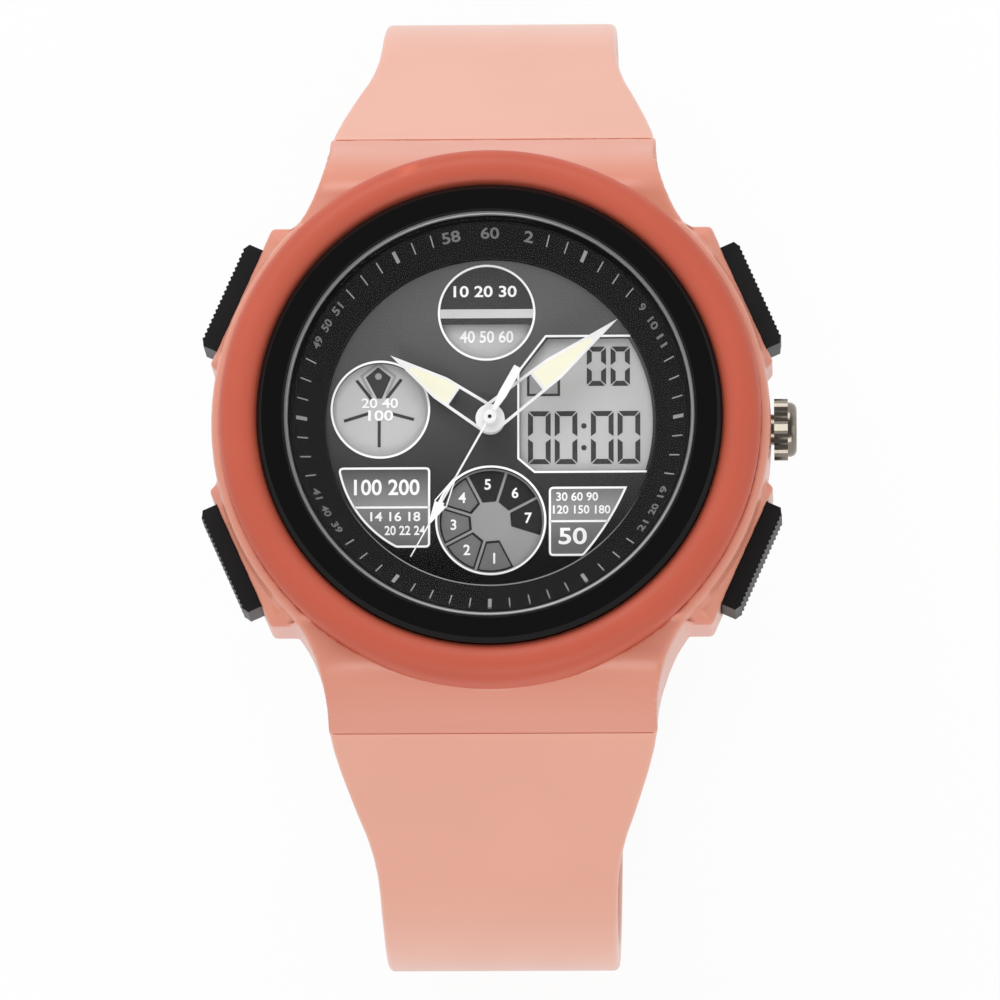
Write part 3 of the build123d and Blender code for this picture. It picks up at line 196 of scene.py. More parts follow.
# Soft boxes: name, place and size in metres, and share of the key's power
LAMP_AIM = (0, 0, 0.05)
LAMPS = (
    ("key box", (-0.12, 0.42, 0.42), (0.5, 0.3), 1.0),
    ("left box", (-0.5, 0.05, 0.35), (0.25, 0.5), 0.18),
    ("right box", (0.5, -0.05, 0.35), (0.25, 0.5), 0.15),
    ("front box", (0.05, -0.5, 0.4), (0.5, 0.2), 0.7),
)

# Moulded skins: size of the slow colour cloud in grains, spread of the roughness, roughness of the coat
CLOUD_SHARE = 60
ROUGH_SPREAD = 0.08
COAT_ROUGHNESS = 0.3

# Bead round the crystal's edge
BEAD_RADIUS = 17.12
BEAD_HALF = 0.3
BEAD_SINK = 0.2

# Case: the shoulder that rises round the bezel, and the hoods that roll down to the strap
BEZEL_RADIUS = 22.68
BEZEL_PLAY = 0.2
CASE_RADIUS = 23.5
SHOULDER_RISE = 1.3
SHOULDER_FOOT = 57.3
HOOD_ROOT_Y = 16.83
HOOD_ROOT_HALF = 16.4
HOOD_SEAM_HALF = 13.9
HOOD_TAPER = 2.2
HOOD_TOP = 58.6
HOOD_BEND_Y = 19.4
HOOD_BEND = 2.0
HOOD_SIDE_ROLL = 0.9
HOOD_SIDE_BEND = 8
SOLID_CREST = (21.8, 57.1)
SOLID_SKIN = 0.7
HOOD_SKIN = 2.4
SEAM_FACE = 0.3
SEAM_SKIN = 0.3
SEAM_TIP = 0.22
SHELL_MERGE = 0.08
UPPER_SEAM_PAST = 0.8
LOWER_SEAM_PAST = 0.2
SEAM_REACH = 1.5
SEAM_DEPTH = 8

# Strap: the loop's straight run from the seam, its round side and its lower corner
SEAM_Y = 25.3
SEAM_Z = 50.663
STRAP_SLOPE = radians(53.0)
SIDE_CENTRE_Y = 16.499
SIDE_RADIUS = 25.001
WIDEST_Z = 20.8
FOOT_Y = 20.7
STRAP_THICKNESS = 2.5
STRAP_ROOT_THICKNESS = 5.2
STRAP_ROUND = 0.55
STRAP_ROUND_SHARE = 0.45
RUN_STEPS = 30
SIDE_STEPS = 20
FLAT_STEPS = 12
KNUCKLE_STEPS = 8
TAIL_STEPS = 17
DOWN = (0, -1)
STRAP_HALVES = ((0, 13.85), (2, 13.52), (4, 13.02), (6.4, 12.3), (8.3, 11.7), (10.1, 11.08), (12, 10.6),
                (14, 10.28), (16, 10.14), (21, 10.03), (26, 10.0))
UPPER_BOTTOM = 3.72
BAR_Y = -6.5
TAIL_END = 24.0
TAIL_ROUND = 7.0
TAIL_BOTTOM = 1.12
PASS_Y = (-16.1, -13.7)
PASS_BOTTOM = 2.45
LEVEL_Y = -7.75
HOLE_SIZE = (2.3, 4.0)
HOLE_FIRST = -9.35
HOLE_PITCH = 6.5
HOLES = (-4, -3, -2, -1, 0, 1, 2, 3)
KNUCKLE_SLOT = (2.0, -9.5, -5.1)
SHARP_ANGLE = radians(40)

# Second hand: the fork and the filled arrow that it carries, and the hub's cap
FORK_START = 5.8
ARROW_BASE = 8.45
ARROW_TIP = 10.6
ARROW_HALF = 0.55
FORK_LINE = 0.1
SECOND_ANGLE = radians(90 - 209.2)
CAP_RADIUS = 0.62
CAP_RISE = 0.16
CAP_TOP_SHARE = 0.86
PIN_DOT_RADIUS = 0.16


# Settings that a user would change

def colour_setting(name, description, red, green, blue):
    """A colour property whose default is written as it looks on screen."""
    levels = (red / 255, green / 255, blue / 255)
    return FloatVectorProperty(name=name, description=description, default=levels, subtype="COLOR_GAMMA",
                               size=3, min=0, max=1)


def length_setting(name, description, metres):
    return FloatProperty(name=name, description=description, default=metres, unit="LENGTH", precision=5)


class ResinSettings(bpy.types.PropertyGroup):
    """Colours of the moulded resin."""
    case: colour_setting("Case", "Glossy case and hoods", 221, 142, 118)
    bezel: colour_setting("Bezel", "Deeper bezel ring", 196, 91, 70)
    strap: colour_setting("Strap", "Matte strap", 229, 161, 137)
    pushers: colour_setting("Pushers", "Ribbed push buttons", 12, 12, 13)
    ring: colour_setting("Crystal ring", "Gloss black ring", 8, 8, 8)
    grain: length_setting("Grain", "Size of the mould's fine grain", 0.00018)


class DialSettings(bpy.types.PropertyGroup):
    """Colours of the dial, its prints and its display."""
    top: colour_setting("Dial top", "Dial grey at 12 o'clock", 101, 101, 101)
    bottom: colour_setting("Dial bottom", "Dial grey at 6 o'clock", 22, 22, 22)
    chapter: colour_setting("Chapter ring", "Sloping ring", 33, 33, 33)
    print_white: colour_setting("Print", "Outlines and numerals", 240, 240, 240)
    track: colour_setting("Minute track", "Ticks on the ring", 150, 150, 150)
    panel: colour_setting("Display", "Light display ground", 184, 184, 184)
    segment: colour_setting("Segments", "Dark display segments", 60, 60, 61)
    lume: colour_setting("Lume", "Luminous fill", 216, 213, 192)
    hands: colour_setting("Hands", "Silver hands", 222, 222, 222)


class StudioSettings(bpy.types.PropertyGroup):
    """Camera and light."""
    azimuth: FloatProperty(name="Azimuth", description="Turn of the view about the dial", subtype="ANGLE",
                           default=radians(9.8))
    elevation: FloatProperty(name="Elevation", description="Height of the view", subtype="ANGLE",
                             default=radians(80.0))
    distance: length_setting("Distance", "Camera to crystal ring", 0.9)
    width: length_setting("Picture width", "Width seen at the crystal ring", 0.08333)
    aim_x: length_setting("Aim X", "Middle of the picture", 0.00092)
    aim_y: length_setting("Aim Y", "Middle of the picture", -0.00745)
    fill: FloatProperty(name="Fill", description="Level of the soft light from all round", default=0.62)
    key: FloatProperty(name="Key", description="Power of the key soft box", default=1.5, subtype="POWER")


# Shader helpers

def linear(colour):
    """A screen colour as the shader wants it."""
    levels = []
    for level in colour:
        levels.append(level / 12.92 if level <= 0.04045 else ((level + 0.055) / 1.055) ** 2.4)
    return (*levels, 1.0)


def shade(colour, share):
    """The same colour, darker or lighter by a share."""
    return tuple(min(level * share, 1.0) for level in colour)


def grey(level):
    return (level / 255,) * 3


def connect(socket, value):
    """Gives a socket a plain value, or links an output to it."""
    if isinstance(value, bpy.types.NodeSocket):
        socket.id_data.links.new(value, socket)
    else:
        socket.default_value = value


def plug(made, **values):
    """Fills a node's inputs, whose names have underscores for spaces."""
    for label, value in values.items():
        connect(made.inputs[label.replace("_", " ")], value)
    return made


def add_node(tree, kind, **values):
    return plug(tree.nodes.new("ShaderNode" + kind), **values)


def math_node(tree, operation, first, second):
    """The result of a Math node."""
    made = add_node(tree, "Math")
    made.operation = operation
    connect(made.inputs[0], first)
    connect(made.inputs[1], second)
    return made.outputs[0]


def colour_mix(tree, factor, first, second):
    """The result of a Mix node for colours."""
    made = add_node(tree, "Mix")
    made.data_type = "RGBA"
    for index, value in ((0, factor), (6, first), (7, second)):
        connect(made.inputs[index], value)
    return made.outputs[2]


def mapped(tree, value, low, high, first=0.0, last=1.0):
    """A value that runs from first to last while the given one runs from low to high."""
    made = add_node(tree, "MapRange", Value=value, From_Min=low, From_Max=high, To_Min=first, To_Max=last)
    return made.outputs["Result"]


def along_axes(tree, space="Object"):
    """X, Y and Z of the place, in the piece's own space."""
    place = add_node(tree, "TexCoord").outputs[space]
    return add_node(tree, "SeparateXYZ", Vector=place).outputs


def object_noise(tree, size, detail):
    """Noise in the piece's own space, whose size is an output in metres."""
    place = add_node(tree, "TexCoord").outputs["Object"]
    scale = math_node(tree, "DIVIDE", 1.0, size)
    return add_node(tree, "TexNoise", Vector=place, Scale=scale, Detail=detail).outputs["Fac"]


def moulded_grain(tree, given):
    """Effect: the fine grain and slow unevenness that a mould leaves on resin."""
    cloud = mapped(tree, object_noise(tree, given["Cloud Size"], 2.0), 0.35, 0.65)
    return {"Height": object_noise(tree, given["Grain Size"], 3.0), "Cloud": cloud}


def edge_tint(tree, given):
    """Effect: base colour that drifts to a second one, paler on sharp edges as a painted edge highlight."""
    drifted = colour_mix(tree, given["Cloud"], given["Colour"], given["Drift Colour"])
    corner = add_node(tree, "NewGeometry").outputs["Pointiness"]
    edge = math_node(tree, "MULTIPLY", mapped(tree, corner, 0.5, 0.62), given["Edge Amount"])
    return {"Colour": colour_mix(tree, edge, drifted, given["Edge Colour"])}


def turned_lines(tree, given):
    """Effect: the fine rings that a lathe or a spinning brush leaves round the Z axis."""
    place = along_axes(tree)
    squares = [math_node(tree, "MULTIPLY", place[axis], place[axis]) for axis in "XY"]
    radius = math_node(tree, "POWER", math_node(tree, "ADD", *squares), 0.5)
    noise = add_node(tree, "TexNoise", Scale=1.0, Detail=4.0)
    noise.noise_dimensions = "1D"
    plug(noise, W=math_node(tree, "DIVIDE", radius, given["Line Size"]))
    height = noise.outputs["Fac"]
    return {"Height": height, "Streak": mapped(tree, height, 0.3, 0.7)}


def fade_along_y(tree, given):
    """Effect: a colour that fades to another between two places along Y."""
    factor = mapped(tree, along_axes(tree)["Y"], given["Low Y"], given["High Y"])
    return {"Colour": colour_mix(tree, factor, given["Low Colour"], given["High Colour"])}


EFFECTS = {
    "Moulded grain": (moulded_grain, {"Grain Size": 0.0002, "Cloud Size": 0.01}),
    # Drift with edge highlight: colour drift from the cloud, and a painted highlight mixed in on sharp edges
    "Drift with edge highlight": (edge_tint, {"Colour": WHITE, "Drift Colour": WHITE, "Edge Colour": WHITE, "Cloud": 0.5,
                              "Edge Amount": 0.3}),
    "Turned lines": (turned_lines, {"Line Size": 0.0001}),
    "Fade along Y": (fade_along_y, {"Low Colour": WHITE, "High Colour": WHITE, "Low Y": -0.01,
                                    "High Y": 0.01}),
}


def add_socket(group, label, way, is_colour):
    kind = "NodeSocketColor" if is_colour else "NodeSocketFloat"
    return group.interface.new_socket(label, in_out=way, socket_type=kind)


def effect(name):
    """The shared node group of this name, built on its first use."""
    if name in bpy.data.node_groups:
        return bpy.data.node_groups[name]
    build, settings = EFFECTS[name]
    group = bpy.data.node_groups.new(name, "ShaderNodeTree")
    for label, value in settings.items():
        add_socket(group, label, "INPUT", isinstance(value, tuple)).default_value = value
    made = build(group, group.nodes.new("NodeGroupInput").outputs)
    for label, output in made.items():
        add_socket(group, label, "OUTPUT", output.type == "RGBA")
    end = group.nodes.new("NodeGroupOutput")
    for label, output in made.items():
        connect(end.inputs[label], output)
    return group


class Finish:
    """A material under construction: plain values sit on its shader, effects plug into it."""

    def __init__(self, name, **values):
        self.material = bpy.data.materials.new(name)
        self.material.use_nodes = True
        self.tree = self.material.node_tree
        self.surface = plug(self.tree.nodes["Principled BSDF"], **values)

    def add_effect(self, name, **values):
        """Places a shared group and fills its inputs; gives its outputs."""
        holder = add_node(self.tree, "Group")
        holder.node_tree = effect(name)
        return plug(holder, **values).outputs

    def tinted(self, cloud, colour, drift, edge, amount):
        """The colour, which drifts with the cloud and changes on sharp edges as a painted edge highlight, by
        shares of itself.
        """
        drift, edge = linear(shade(colour, drift)), linear(shade(colour, edge))
        tint = self.add_effect("Drift with edge highlight", Cloud=cloud, Colour=linear(colour), Drift_Colour=drift,
                               Edge_Colour=edge, Edge_Amount=amount)
        return tint["Colour"]

    def close(self, colour, cloud, low, high, height, depth):
        """Plugs in a colour, roughness from low to high with the cloud, and relief this deep in metres."""
        relief = add_node(self.tree, "Bump", Distance=depth, Height=height)
        plug(self.surface, Base_Color=colour, Roughness=mapped(self.tree, cloud, 0.0, 1.0, low, high),
             Normal=relief.outputs["Normal"])
        return self.material

    def blend(self, factor, shader):
        """Mixes another shader over the surface."""
        mix = add_node(self.tree, "MixShader", Fac=factor)
        connect(mix.inputs[1], self.surface.outputs["BSDF"])
        connect(mix.inputs[2], shader)
        plug(self.tree.nodes["Material Output"], Surface=mix.outputs["Shader"])
        return self.material


def moulded(name, colour, roughness, grain, depth, gloss=0.5, coat=0.0, sheen=0.0, drift=0.96, edge=1.12):
    """A moulded plastic or rubber with grain, slow colour drift and paler edges, which are a painted edge
    highlight.
    """
    finish = Finish(name, Specular_IOR_Level=gloss, Coat_Weight=coat, Coat_Roughness=COAT_ROUGHNESS,
                    Sheen_Weight=sheen)
    skin = finish.add_effect("Moulded grain", Grain_Size=grain, Cloud_Size=CLOUD_SHARE * grain)
    colour = finish.tinted(skin["Cloud"], colour, drift, edge, 0.3)
    low, high = roughness * (1 - ROUGH_SPREAD), roughness * (1 + ROUGH_SPREAD)
    return finish.close(colour, skin["Cloud"], low, high, skin["Height"], depth)


def ink(name, colour, roughness=0.5):
    """A thin matte print."""
    return moulded(name, colour, roughness, 1e-4, 5e-7, gloss=0.1)


def metal(name, colour, low, high, line_size, depth):
    """A turned or brushed metal whose lines change its roughness, with a painted highlight on its sharp
    edges.
    """
    finish = Finish(name, Metallic=1.0)
    lines = finish.add_effect("Turned lines", Line_Size=line_size)
    colour = finish.tinted(lines["Streak"], colour, 0.9, 1.1, 0.4)
    return finish.close(colour, lines["Streak"], low, high, lines["Height"], depth)


def faded(name, low_colour, high_colour, low_y, high_y, roughness, gloss):
    """A ground whose grey changes up the dial, between two Y places in millimetres; on the display it darkens
    towards the top as painted shade, and on the chapter ring's edge it is a painted highlight.
    """
    finish = Finish(name, Specular_IOR_Level=gloss)
    fade = finish.add_effect("Fade along Y", Low_Colour=linear(low_colour), High_Colour=linear(high_colour),
                             Low_Y=low_y * MM, High_Y=high_y * MM)
    skin = finish.add_effect("Moulded grain", Grain_Size=6e-5, Cloud_Size=0.003)
    return finish.close(fade["Colour"], skin["Cloud"], roughness * 0.9, roughness * 1.1, skin["Height"], 4e-7)


def clear_glass(name):
    """Clear glass that lets the lamps through to the dial."""
    finish = Finish(name, Roughness=0.0, Specular_IOR_Level=0.12, IOR=1.12, Transmission_Weight=1.0,
                    Base_Color=WHITE)
    shadow = add_node(finish.tree, "LightPath").outputs["Is Shadow Ray"]
    return finish.blend(shadow, add_node(finish.tree, "BsdfTransparent").outputs["BSDF"])


def resin_finishes(resin):
    """The case, bezel, strap, ring and pusher materials, by slot name."""
    grain = resin.grain
    # edge lightens sharp edges as a painted highlight, strongest on the bezel, the black ring and the pushers
    return {
        "case_resin": moulded("case resin", resin.case, 0.36, grain, 1e-6, gloss=0.4, coat=0.45, drift=0.99,
                              edge=1.04),
        "bezel_resin": moulded("bezel resin", resin.bezel, 0.45, grain, 1e-6, gloss=0.25, drift=0.98,
                               edge=1.4),
        "strap_resin": moulded("strap resin", resin.strap, 0.5, grain, 2e-6, gloss=0.65, sheen=0.6,
                               drift=0.99),
        "ring_black": moulded("gloss black ring", resin.ring, 0.16, grain, 3e-7, gloss=0.15, edge=4.0),
        "bead": metal("crystal edge bead", grey(158), 0.42, 0.5, 4e-5, 2e-7),
        "pusher_black": moulded("ribbed black rubber", resin.pushers, 0.45, grain, 4e-6, gloss=0.3, edge=3.0),
        "seal_rubber": moulded("seal rubber", grey(30), 0.6, grain, 4e-6),
    }


def dial_finishes(dial):
    """The dial, print, display and hand materials, by slot name."""
    low, high = DIAL[0].y, DIAL[1].y
    return {
        "dial_grey": faded("satin grey dial", dial.bottom, dial.top, *DIAL_FADE, 0.5, 0),
        "chapter_black": moulded("chapter ring black", dial.chapter, 0.6, 1.2e-4, 3e-7, gloss=0),
        # the display's own light grey, darker towards the top by painted shade
        "display": faded("display ground", dial.panel, shade(dial.panel, 0.97), low, high, 0.5, 0.2),
        "backlight": moulded("backlight film", (0.86, 0.93, 0.9), 0.5, 2e-4, 1e-6),
        "hand_silver": moulded("silver hands", dial.hands, 0.35, 8e-5, 5e-7, gloss=0.3, drift=0.93),
        "lume": moulded("luminous fill", dial.lume, 0.6, 1e-4, 3e-6, gloss=0.2),
        "crystal": clear_glass("clear crystal"),
        "print_white": ink("white print", dial.print_white),
        "track_grey": ink("minute track print", dial.track),
        "segment_dark": ink("display segments", dial.segment),
        "numeral_grey": ink("track numerals", grey(116)),
        "bar_silver": moulded("silver bar", grey(190), 0.4, 8e-5, 5e-7, gloss=0.2),
        "disc_dark": ink("dark print", grey(62), 0.45),
        "cell_dark": ink("dark cell print", grey(38), 0.45),
        "disc_grey": ink("grey disc print", grey(145), 0.45),
        "cell_grey": ink("grey cell print", grey(108), 0.45),
        # painted highlight: light grey at 6 o'clock that fades into the chapter colour
        "ring_edge_highlight": faded("painted ring edge highlight", grey(150), dial.chapter, *RING_EDGE_HIGHLIGHT_FADE, 0.4, 0.1),
        "upper_box": faded("upper box print", grey(138), grey(78), *UPPER_BOX_FADE, 0.4, 0.1),
        "lower_box": faded("lower box print", grey(100), grey(120), *LOWER_BOX_FADE, 0.4, 0.1),
    }


def inner_finishes():
    """The metals of the outside and everything inside the case, by slot name."""
    return {
        "steel_polished": metal("polished steel", (0.54, 0.51, 0.47), 0.14, 0.24, 6e-5, 4e-7),
        "steel_brushed": metal("brushed steel", (0.74, 0.73, 0.71), 0.24, 0.42, 8e-5, 2e-6),
        "motor_steel": metal("motor steel", (0.66, 0.67, 0.7), 0.3, 0.45, 1e-4, 1e-6),
        "wheel_brass": metal("wheel brass", (0.86, 0.7, 0.4), 0.22, 0.36, 5e-5, 1e-6),
        "coil_copper": metal("coil copper", (0.82, 0.48, 0.3), 0.3, 0.45, 7e-5, 3e-6),
        "cell": metal("cell steel", (0.8, 0.8, 0.8), 0.2, 0.34, 8e-5, 1e-6),
        "module_plastic": moulded("module plastic", grey(196), 0.5, 2e-4, 3e-6),
        "board": moulded("circuit board", (0.12, 0.36, 0.22), 0.45, 2e-4, 2e-6),
        "chip": moulded("chip resin", grey(28), 0.5, 2e-4, 4e-6),
    }


def finish_for(slot):
    """The material of one slot of the record, or of one print."""
    if not FINISHES:
        scene = bpy.context.scene
        for group in (resin_finishes(scene.watch_resin), dial_finishes(scene.watch_dial), inner_finishes()):
            FINISHES.update(group)
    return FINISHES[slot]


FINISHES = {}
SLOT_OF = {part["node"]: part["material_slot"] for part in frame["record"]["subparts"]}


def dress(*names):
    """Gives CAD nodes the material of their own slot."""
    for name in names:
        for holder in frame["nodes"][name].material_slots:
            holder.material = finish_for(SLOT_OF[name])


# Mesh helpers

class Solids:
    """Collects closed shapes in millimetres and turns them into one piece."""

    def __init__(self):
        self.points = []
        self.faces = []

    def add(self, points, faces, matrix=None):
        start = len(self.points)
        self.points.extend(matrix @ Vector(point) if matrix else Vector(point) for point in points)
        self.faces.extend([start + index for index in face] for face in faces)

    def loft(self, rings, closed=False, matrix=None):
        """A skin through rings of points, with flat ends or closed on itself."""
        count = len(rings[0])
        last = (len(rings) - 1) * count
        faces = [] if closed else [list(range(count - 1, -1, -1)), list(range(last, last + count))]
        for n in range(len(rings) if closed else len(rings) - 1):
            here, there = n * count, (n + 1) % len(rings) * count
            for k in range(count):
                after = (k + 1) % count
                faces.append([here + k, here + after, there + after, there + k])
        self.add([point for ring in rings for point in ring], faces, matrix)

    def slab(self, outline, low, high, matrix=None):
        """A plate with this outline."""
        self.loft([[(x, y, level) for x, y in outline] for level in (low, high)], matrix=matrix)

    def ribbon(self, path, width, low, high, closed=False):
        """A line of this width along a path, mitred at its corners."""
        self.loft([[(*left, low), (*right, low), (*right, high), (*left, high)]
                   for left, right in beside(path, width / 2, closed)], closed)

    def words(self, text, height, width, low, high, matrix):
        """Plain numerals of this height and width, centred on the matrix."""
        points, faces = glyphs(text)
        base = [min(values) for values in zip(*points)]
        size = [max(values) - start for values, start in zip(zip(*points), base)]
        wide = width or height * size[0] / size[1]
        fitted = []
        for point in points:
            x, y, z = ((value - start) / length for value, start, length in zip(point, base, size))
            fitted.append(((x - 0.5) * wide, (y - 0.5) * height, low + z * (high - low)))
        self.add(fitted, faces, matrix)

    def mesh(self, name):
        """The shapes as one mesh in metres, with all faces outward."""
        mesh = bpy.data.meshes.new(name)
        mesh.from_pydata([point * MM for point in self.points], [], self.faces)
        mesh.validate()
        made = bmesh.new()
        made.from_mesh(mesh)
        bmesh.ops.recalc_face_normals(made, faces=made.faces)
        made.to_mesh(mesh)
        made.free()
        return mesh

    def piece(self, name, slot, body="root", smooth=False):
        """Makes the object and hangs it on its body."""
        mesh = self.mesh(name)
        mesh.shade_smooth() if smooth else mesh.shade_flat()
        mesh.materials.append(finish_for(slot))
        piece = linked(name, mesh)
        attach(piece, body)
        return piece


def linked(name, data):
    """A new object in the scene."""
    made = bpy.data.objects.new(name, data)
    bpy.context.scene.collection.objects.link(made)
    return made


def apply_modifiers(piece):
    """Turns a piece's modifiers into its own mesh."""
    mesh = bpy.data.meshes.new_from_object(piece.evaluated_get(bpy.context.evaluated_depsgraph_get()))
    piece.modifiers.clear()
    piece.data = mesh
    return mesh


def beside(path, distance, closed):
    """A pair of points for each point of a path, at this distance on its left and right."""
    pairs = []
    count = len(path)
    for n in range(count):
        here = Vector(path[n])
        before = Vector(path[n - 1]) if closed or n else here
        after = Vector(path[(n + 1) % count]) if closed or n < count - 1 else here
        way_in = (here - before).normalized() if before != here else (after - here).normalized()
        way_out = (after - here).normalized() if after != here else way_in
        middle = (way_in + way_out).normalized()
        side = Vector((-middle.y, middle.x))
        stretch = distance / max(side.dot(Vector((-way_in.y, way_in.x))), MITRE_LIMIT)
        pairs.append((here + side * stretch, here - side * stretch))
    return pairs


def glyphs(text):
    """Points and faces of a text in Blender's own plain font, one unit thick."""
    letters = bpy.data.curves.new("numerals", "FONT")
    letters.body = text
    letters.offset = LETTER_WEIGHT
    letters.extrude = 0.5
    letters.resolution_u = LETTER_STEPS
    holder = bpy.data.objects.new("numerals", letters)
    mesh = bpy.data.meshes.new_from_object(holder)
    points = [tuple(vertex.co) for vertex in mesh.vertices]
    faces = [list(polygon.vertices) for polygon in mesh.polygons]
    bpy.data.meshes.remove(mesh)
    bpy.data.objects.remove(holder)
    bpy.data.curves.remove(letters)
    return points, faces


def arc(x, y, radius, start, turn, steps):
    """Points on an arc, its two ends included."""
    angles = [start + turn * n / steps for n in range(steps + 1)]
    return [(x + radius * cos(angle), y + radius * sin(angle)) for angle in angles]


def circle(x, y, radius, steps=ARC_STEPS):
    return arc(x, y, radius, 0, 2 * pi, steps)[:-1]


def rectangle(left, right, low, high):
    return [(left, low), (right, low), (right, high), (left, high)]


def moved(points, x, y):
    return [(x + dx, y + dy) for dx, dy in points]


def bulged(start, end, sag, steps=20):
    """Points of an arc from start to end that bulges by sag to its right-hand side."""
    start, end = Vector(start), Vector(end)
    chord = end - start
    half = chord.length / 2
    radius = (half * half + sag * sag) / (2 * sag)
    side = Vector((chord.y, -chord.x)).normalized()
    centre = (start + end) / 2 - side * (radius - sag)
    first = atan2(start.y - centre.y, start.x - centre.x)
    return arc(*centre, radius, first, 2 * atan2(half, radius - sag), steps)


def softened(outline, radius, steps=5):
    """A closed outline whose sharp corners are rounded."""
    made = []
    for n, corner in enumerate(outline):
        here = Vector(corner)
        back = Vector(outline[n - 1]) - here
        ahead = Vector(outline[(n + 1) % len(outline)]) - here
        turn = back.angle(ahead)
        reach = radius / tan(turn / 2)
        if pi - turn < BLUNT_ANGLE or reach > min(back.length, ahead.length):
            made.append(tuple(here))
            continue
        start = here + back.normalized() * reach
        end = here + ahead.normalized() * reach
        for step in range(steps + 1):
            share = step / steps
            made.append(tuple(start * (1 - share) ** 2 + here * 2 * share * (1 - share) + end * share ** 2))
    return made


def disc_slice(x, y, radius, low, high, steps=16):
    """The part of a disc between two heights."""
    first, last = (acos(max(-1, min(1, (level - y) / radius))) for level in (low, high))
    turn = first - last
    return arc(x, y, radius, pi / 2 - first, turn, steps) + arc(x, y, radius, pi / 2 + last, turn, steps)


def on_slope(radius, angle, inward):
    """A place on the chapter ring's slope, with its tops outward or inward."""
    run = SLOPE_OUTER - SLOPE_INNER
    rise = CHAPTER[1].z - DIAL_TOP - SLOPE_RISE
    length = hypot(run, rise)
    out = Vector((cos(angle), sin(angle), 0))
    climb = (out * run + Vector((0, 0, rise))) / length
    normal = (Vector((0, 0, run)) - out * rise) / length
    up = -climb if inward else climb
    across = up.cross(normal)
    level = DIAL_TOP + SLOPE_RISE + (radius - SLOPE_INNER) * rise / run
    matrix = Matrix((across, up, normal)).transposed().to_4x4()
    matrix.translation = out * radius + Vector((0, 0, level))
    return matrix


def round_off(piece, passes, share=1.0):
    """Rounds a piece's edges, keeps this share of its faces and applies its modifiers."""
    piece.modifiers.new("rounded edges", "SMOOTH").iterations = passes
    if share < 1:
        piece.modifiers.new("lighter mesh", "DECIMATE").ratio = share
    return apply_modifiers(piece)


def stand_in(node, name, body, cell, passes, share=1.0):
    """A copy of a node with an even skin and softly rounded edges, as from a mould, in place of the node."""
    piece = linked(name, frame["nodes"][node].data.copy())
    skin = piece.modifiers.new("even skin", "REMESH")
    skin.mode = "VOXEL"
    skin.voxel_size = cell * MM
    skin.use_smooth_shade = True
    mesh = round_off(piece, passes, share)
    mesh.name = name
    mesh.materials.clear()
    mesh.materials.append(finish_for(SLOT_OF[node]))
    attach(piece, body)
    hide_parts(node)
    return piece


# Operators, one for each group of pieces

class WATCH_OT_case(bpy.types.Operator):
    """Gives the case its soft moulded edges, and dresses bezel, ring, back and screws"""
    bl_idname = "watch.case"
    bl_label = "Case"

    def execute(self, context):
        shell = stand_in("case_body", "case_shell", "root", cell=0.2, passes=2)
        shape_shell(shell.data)
        round_off(shell, passes=6, share=0.5)
        dress("bezel", "crystal_ring", "crystal_gasket", "case_back", "case_back_gasket", "case_back_screws")
        return {"FINISHED"}


class WATCH_OT_strap(bpy.types.Operator):
    """Makes the two strap halves and the keepers"""
    bl_idname = "watch.strap"
    bl_label = "Strap"

    def execute(self, context):
        for half, stations, cutters in (("upper", upper_stations(), knuckle_slot()),
                                        ("lower", lower_stations(), strap_holes())):
            piece = loft_strap("strap_half_" + half, stations)
            cut(piece, cutters)
            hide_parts("strap_" + half)
        stand_in("fixed_keeper", "keeper_fixed", "root", cell=0.14, passes=6)
        stand_in("sliding_keeper", "keeper_sliding", "slider_body", cell=0.14, passes=6)
        dress("strap_pins")
        return {"FINISHED"}


class WATCH_OT_buckle(bpy.types.Operator):
    """Makes the buckle frame and tongue in polished steel"""
    bl_idname = "watch.buckle"
    bl_label = "Buckle"

    def execute(self, context):
        stand_in("buckle_frame", "buckle_loop", "buckle_body", cell=0.12, passes=5, share=0.5)
        stand_in("buckle_tongue", "buckle_prong", "tongue_body", cell=0.08, passes=4, share=0.5)
        dress("buckle_pin")
        return {"FINISHED"}


class WATCH_OT_controls(bpy.types.Operator):
    """Dresses the crown and the four pushers with what holds them"""
    bl_idname = "watch.controls"
    bl_label = "Crown and pushers"

    def execute(self, context):
        dress("crown", "crown_stem", "crown_gasket", "setting_yoke", "pusher_seals", "pusher_springs")
        for name in ("start", "light", "mode", "reset"):
            dress("pusher_" + name, "pusher_clip_" + name)
        return {"FINISHED"}


class WATCH_OT_dial(bpy.types.Operator):
    """Prints the dial: outlines, discs, boxes and plain numerals"""
    bl_idname = "watch.dial"
    bl_label = "Dial prints"

    def execute(self, context):
        dress("dial_plate", "chapter_ring")
        print_outlines()
        print_top_disc()
        print_boxes()
        print_words("dial_numerals", DIAL_WORDS, DIAL_TOP + INK)
        return {"FINISHED"}


class WATCH_OT_display(bpy.types.Operator):
    """Dresses the display and lays its segments and the weekday cells on it"""
    bl_idname = "watch.display"
    bl_label = "Display"

    def execute(self, context):
        dress("lcd_panel", "backlight_panel", "conductive_strips")
        lay_digits()
        lay_left_disc()
        lay_weekday_cells()
        return {"FINISHED"}


class WATCH_OT_track(bpy.types.Operator):
    """Prints the minute track and its plain numerals, and paints a highlight line on the ring's edge"""
    bl_idname = "watch.track"
    bl_label = "Minute track"

    def execute(self, context):
        print_ticks()
        print_edge_line()
        print_track_numerals()
        return {"FINISHED"}


class WATCH_OT_hands(bpy.types.Operator):
    """Dresses the hands and their lume, and adds the arrow and the hub's cap"""
    bl_idname = "watch.hands"
    bl_label = "Hands"

    def execute(self, context):
        dress("hour_hand", "hour_lume", "minute_hand", "minute_lume", "second_hand")
        add_arrow()
        add_hub_cap()
        return {"FINISHED"}


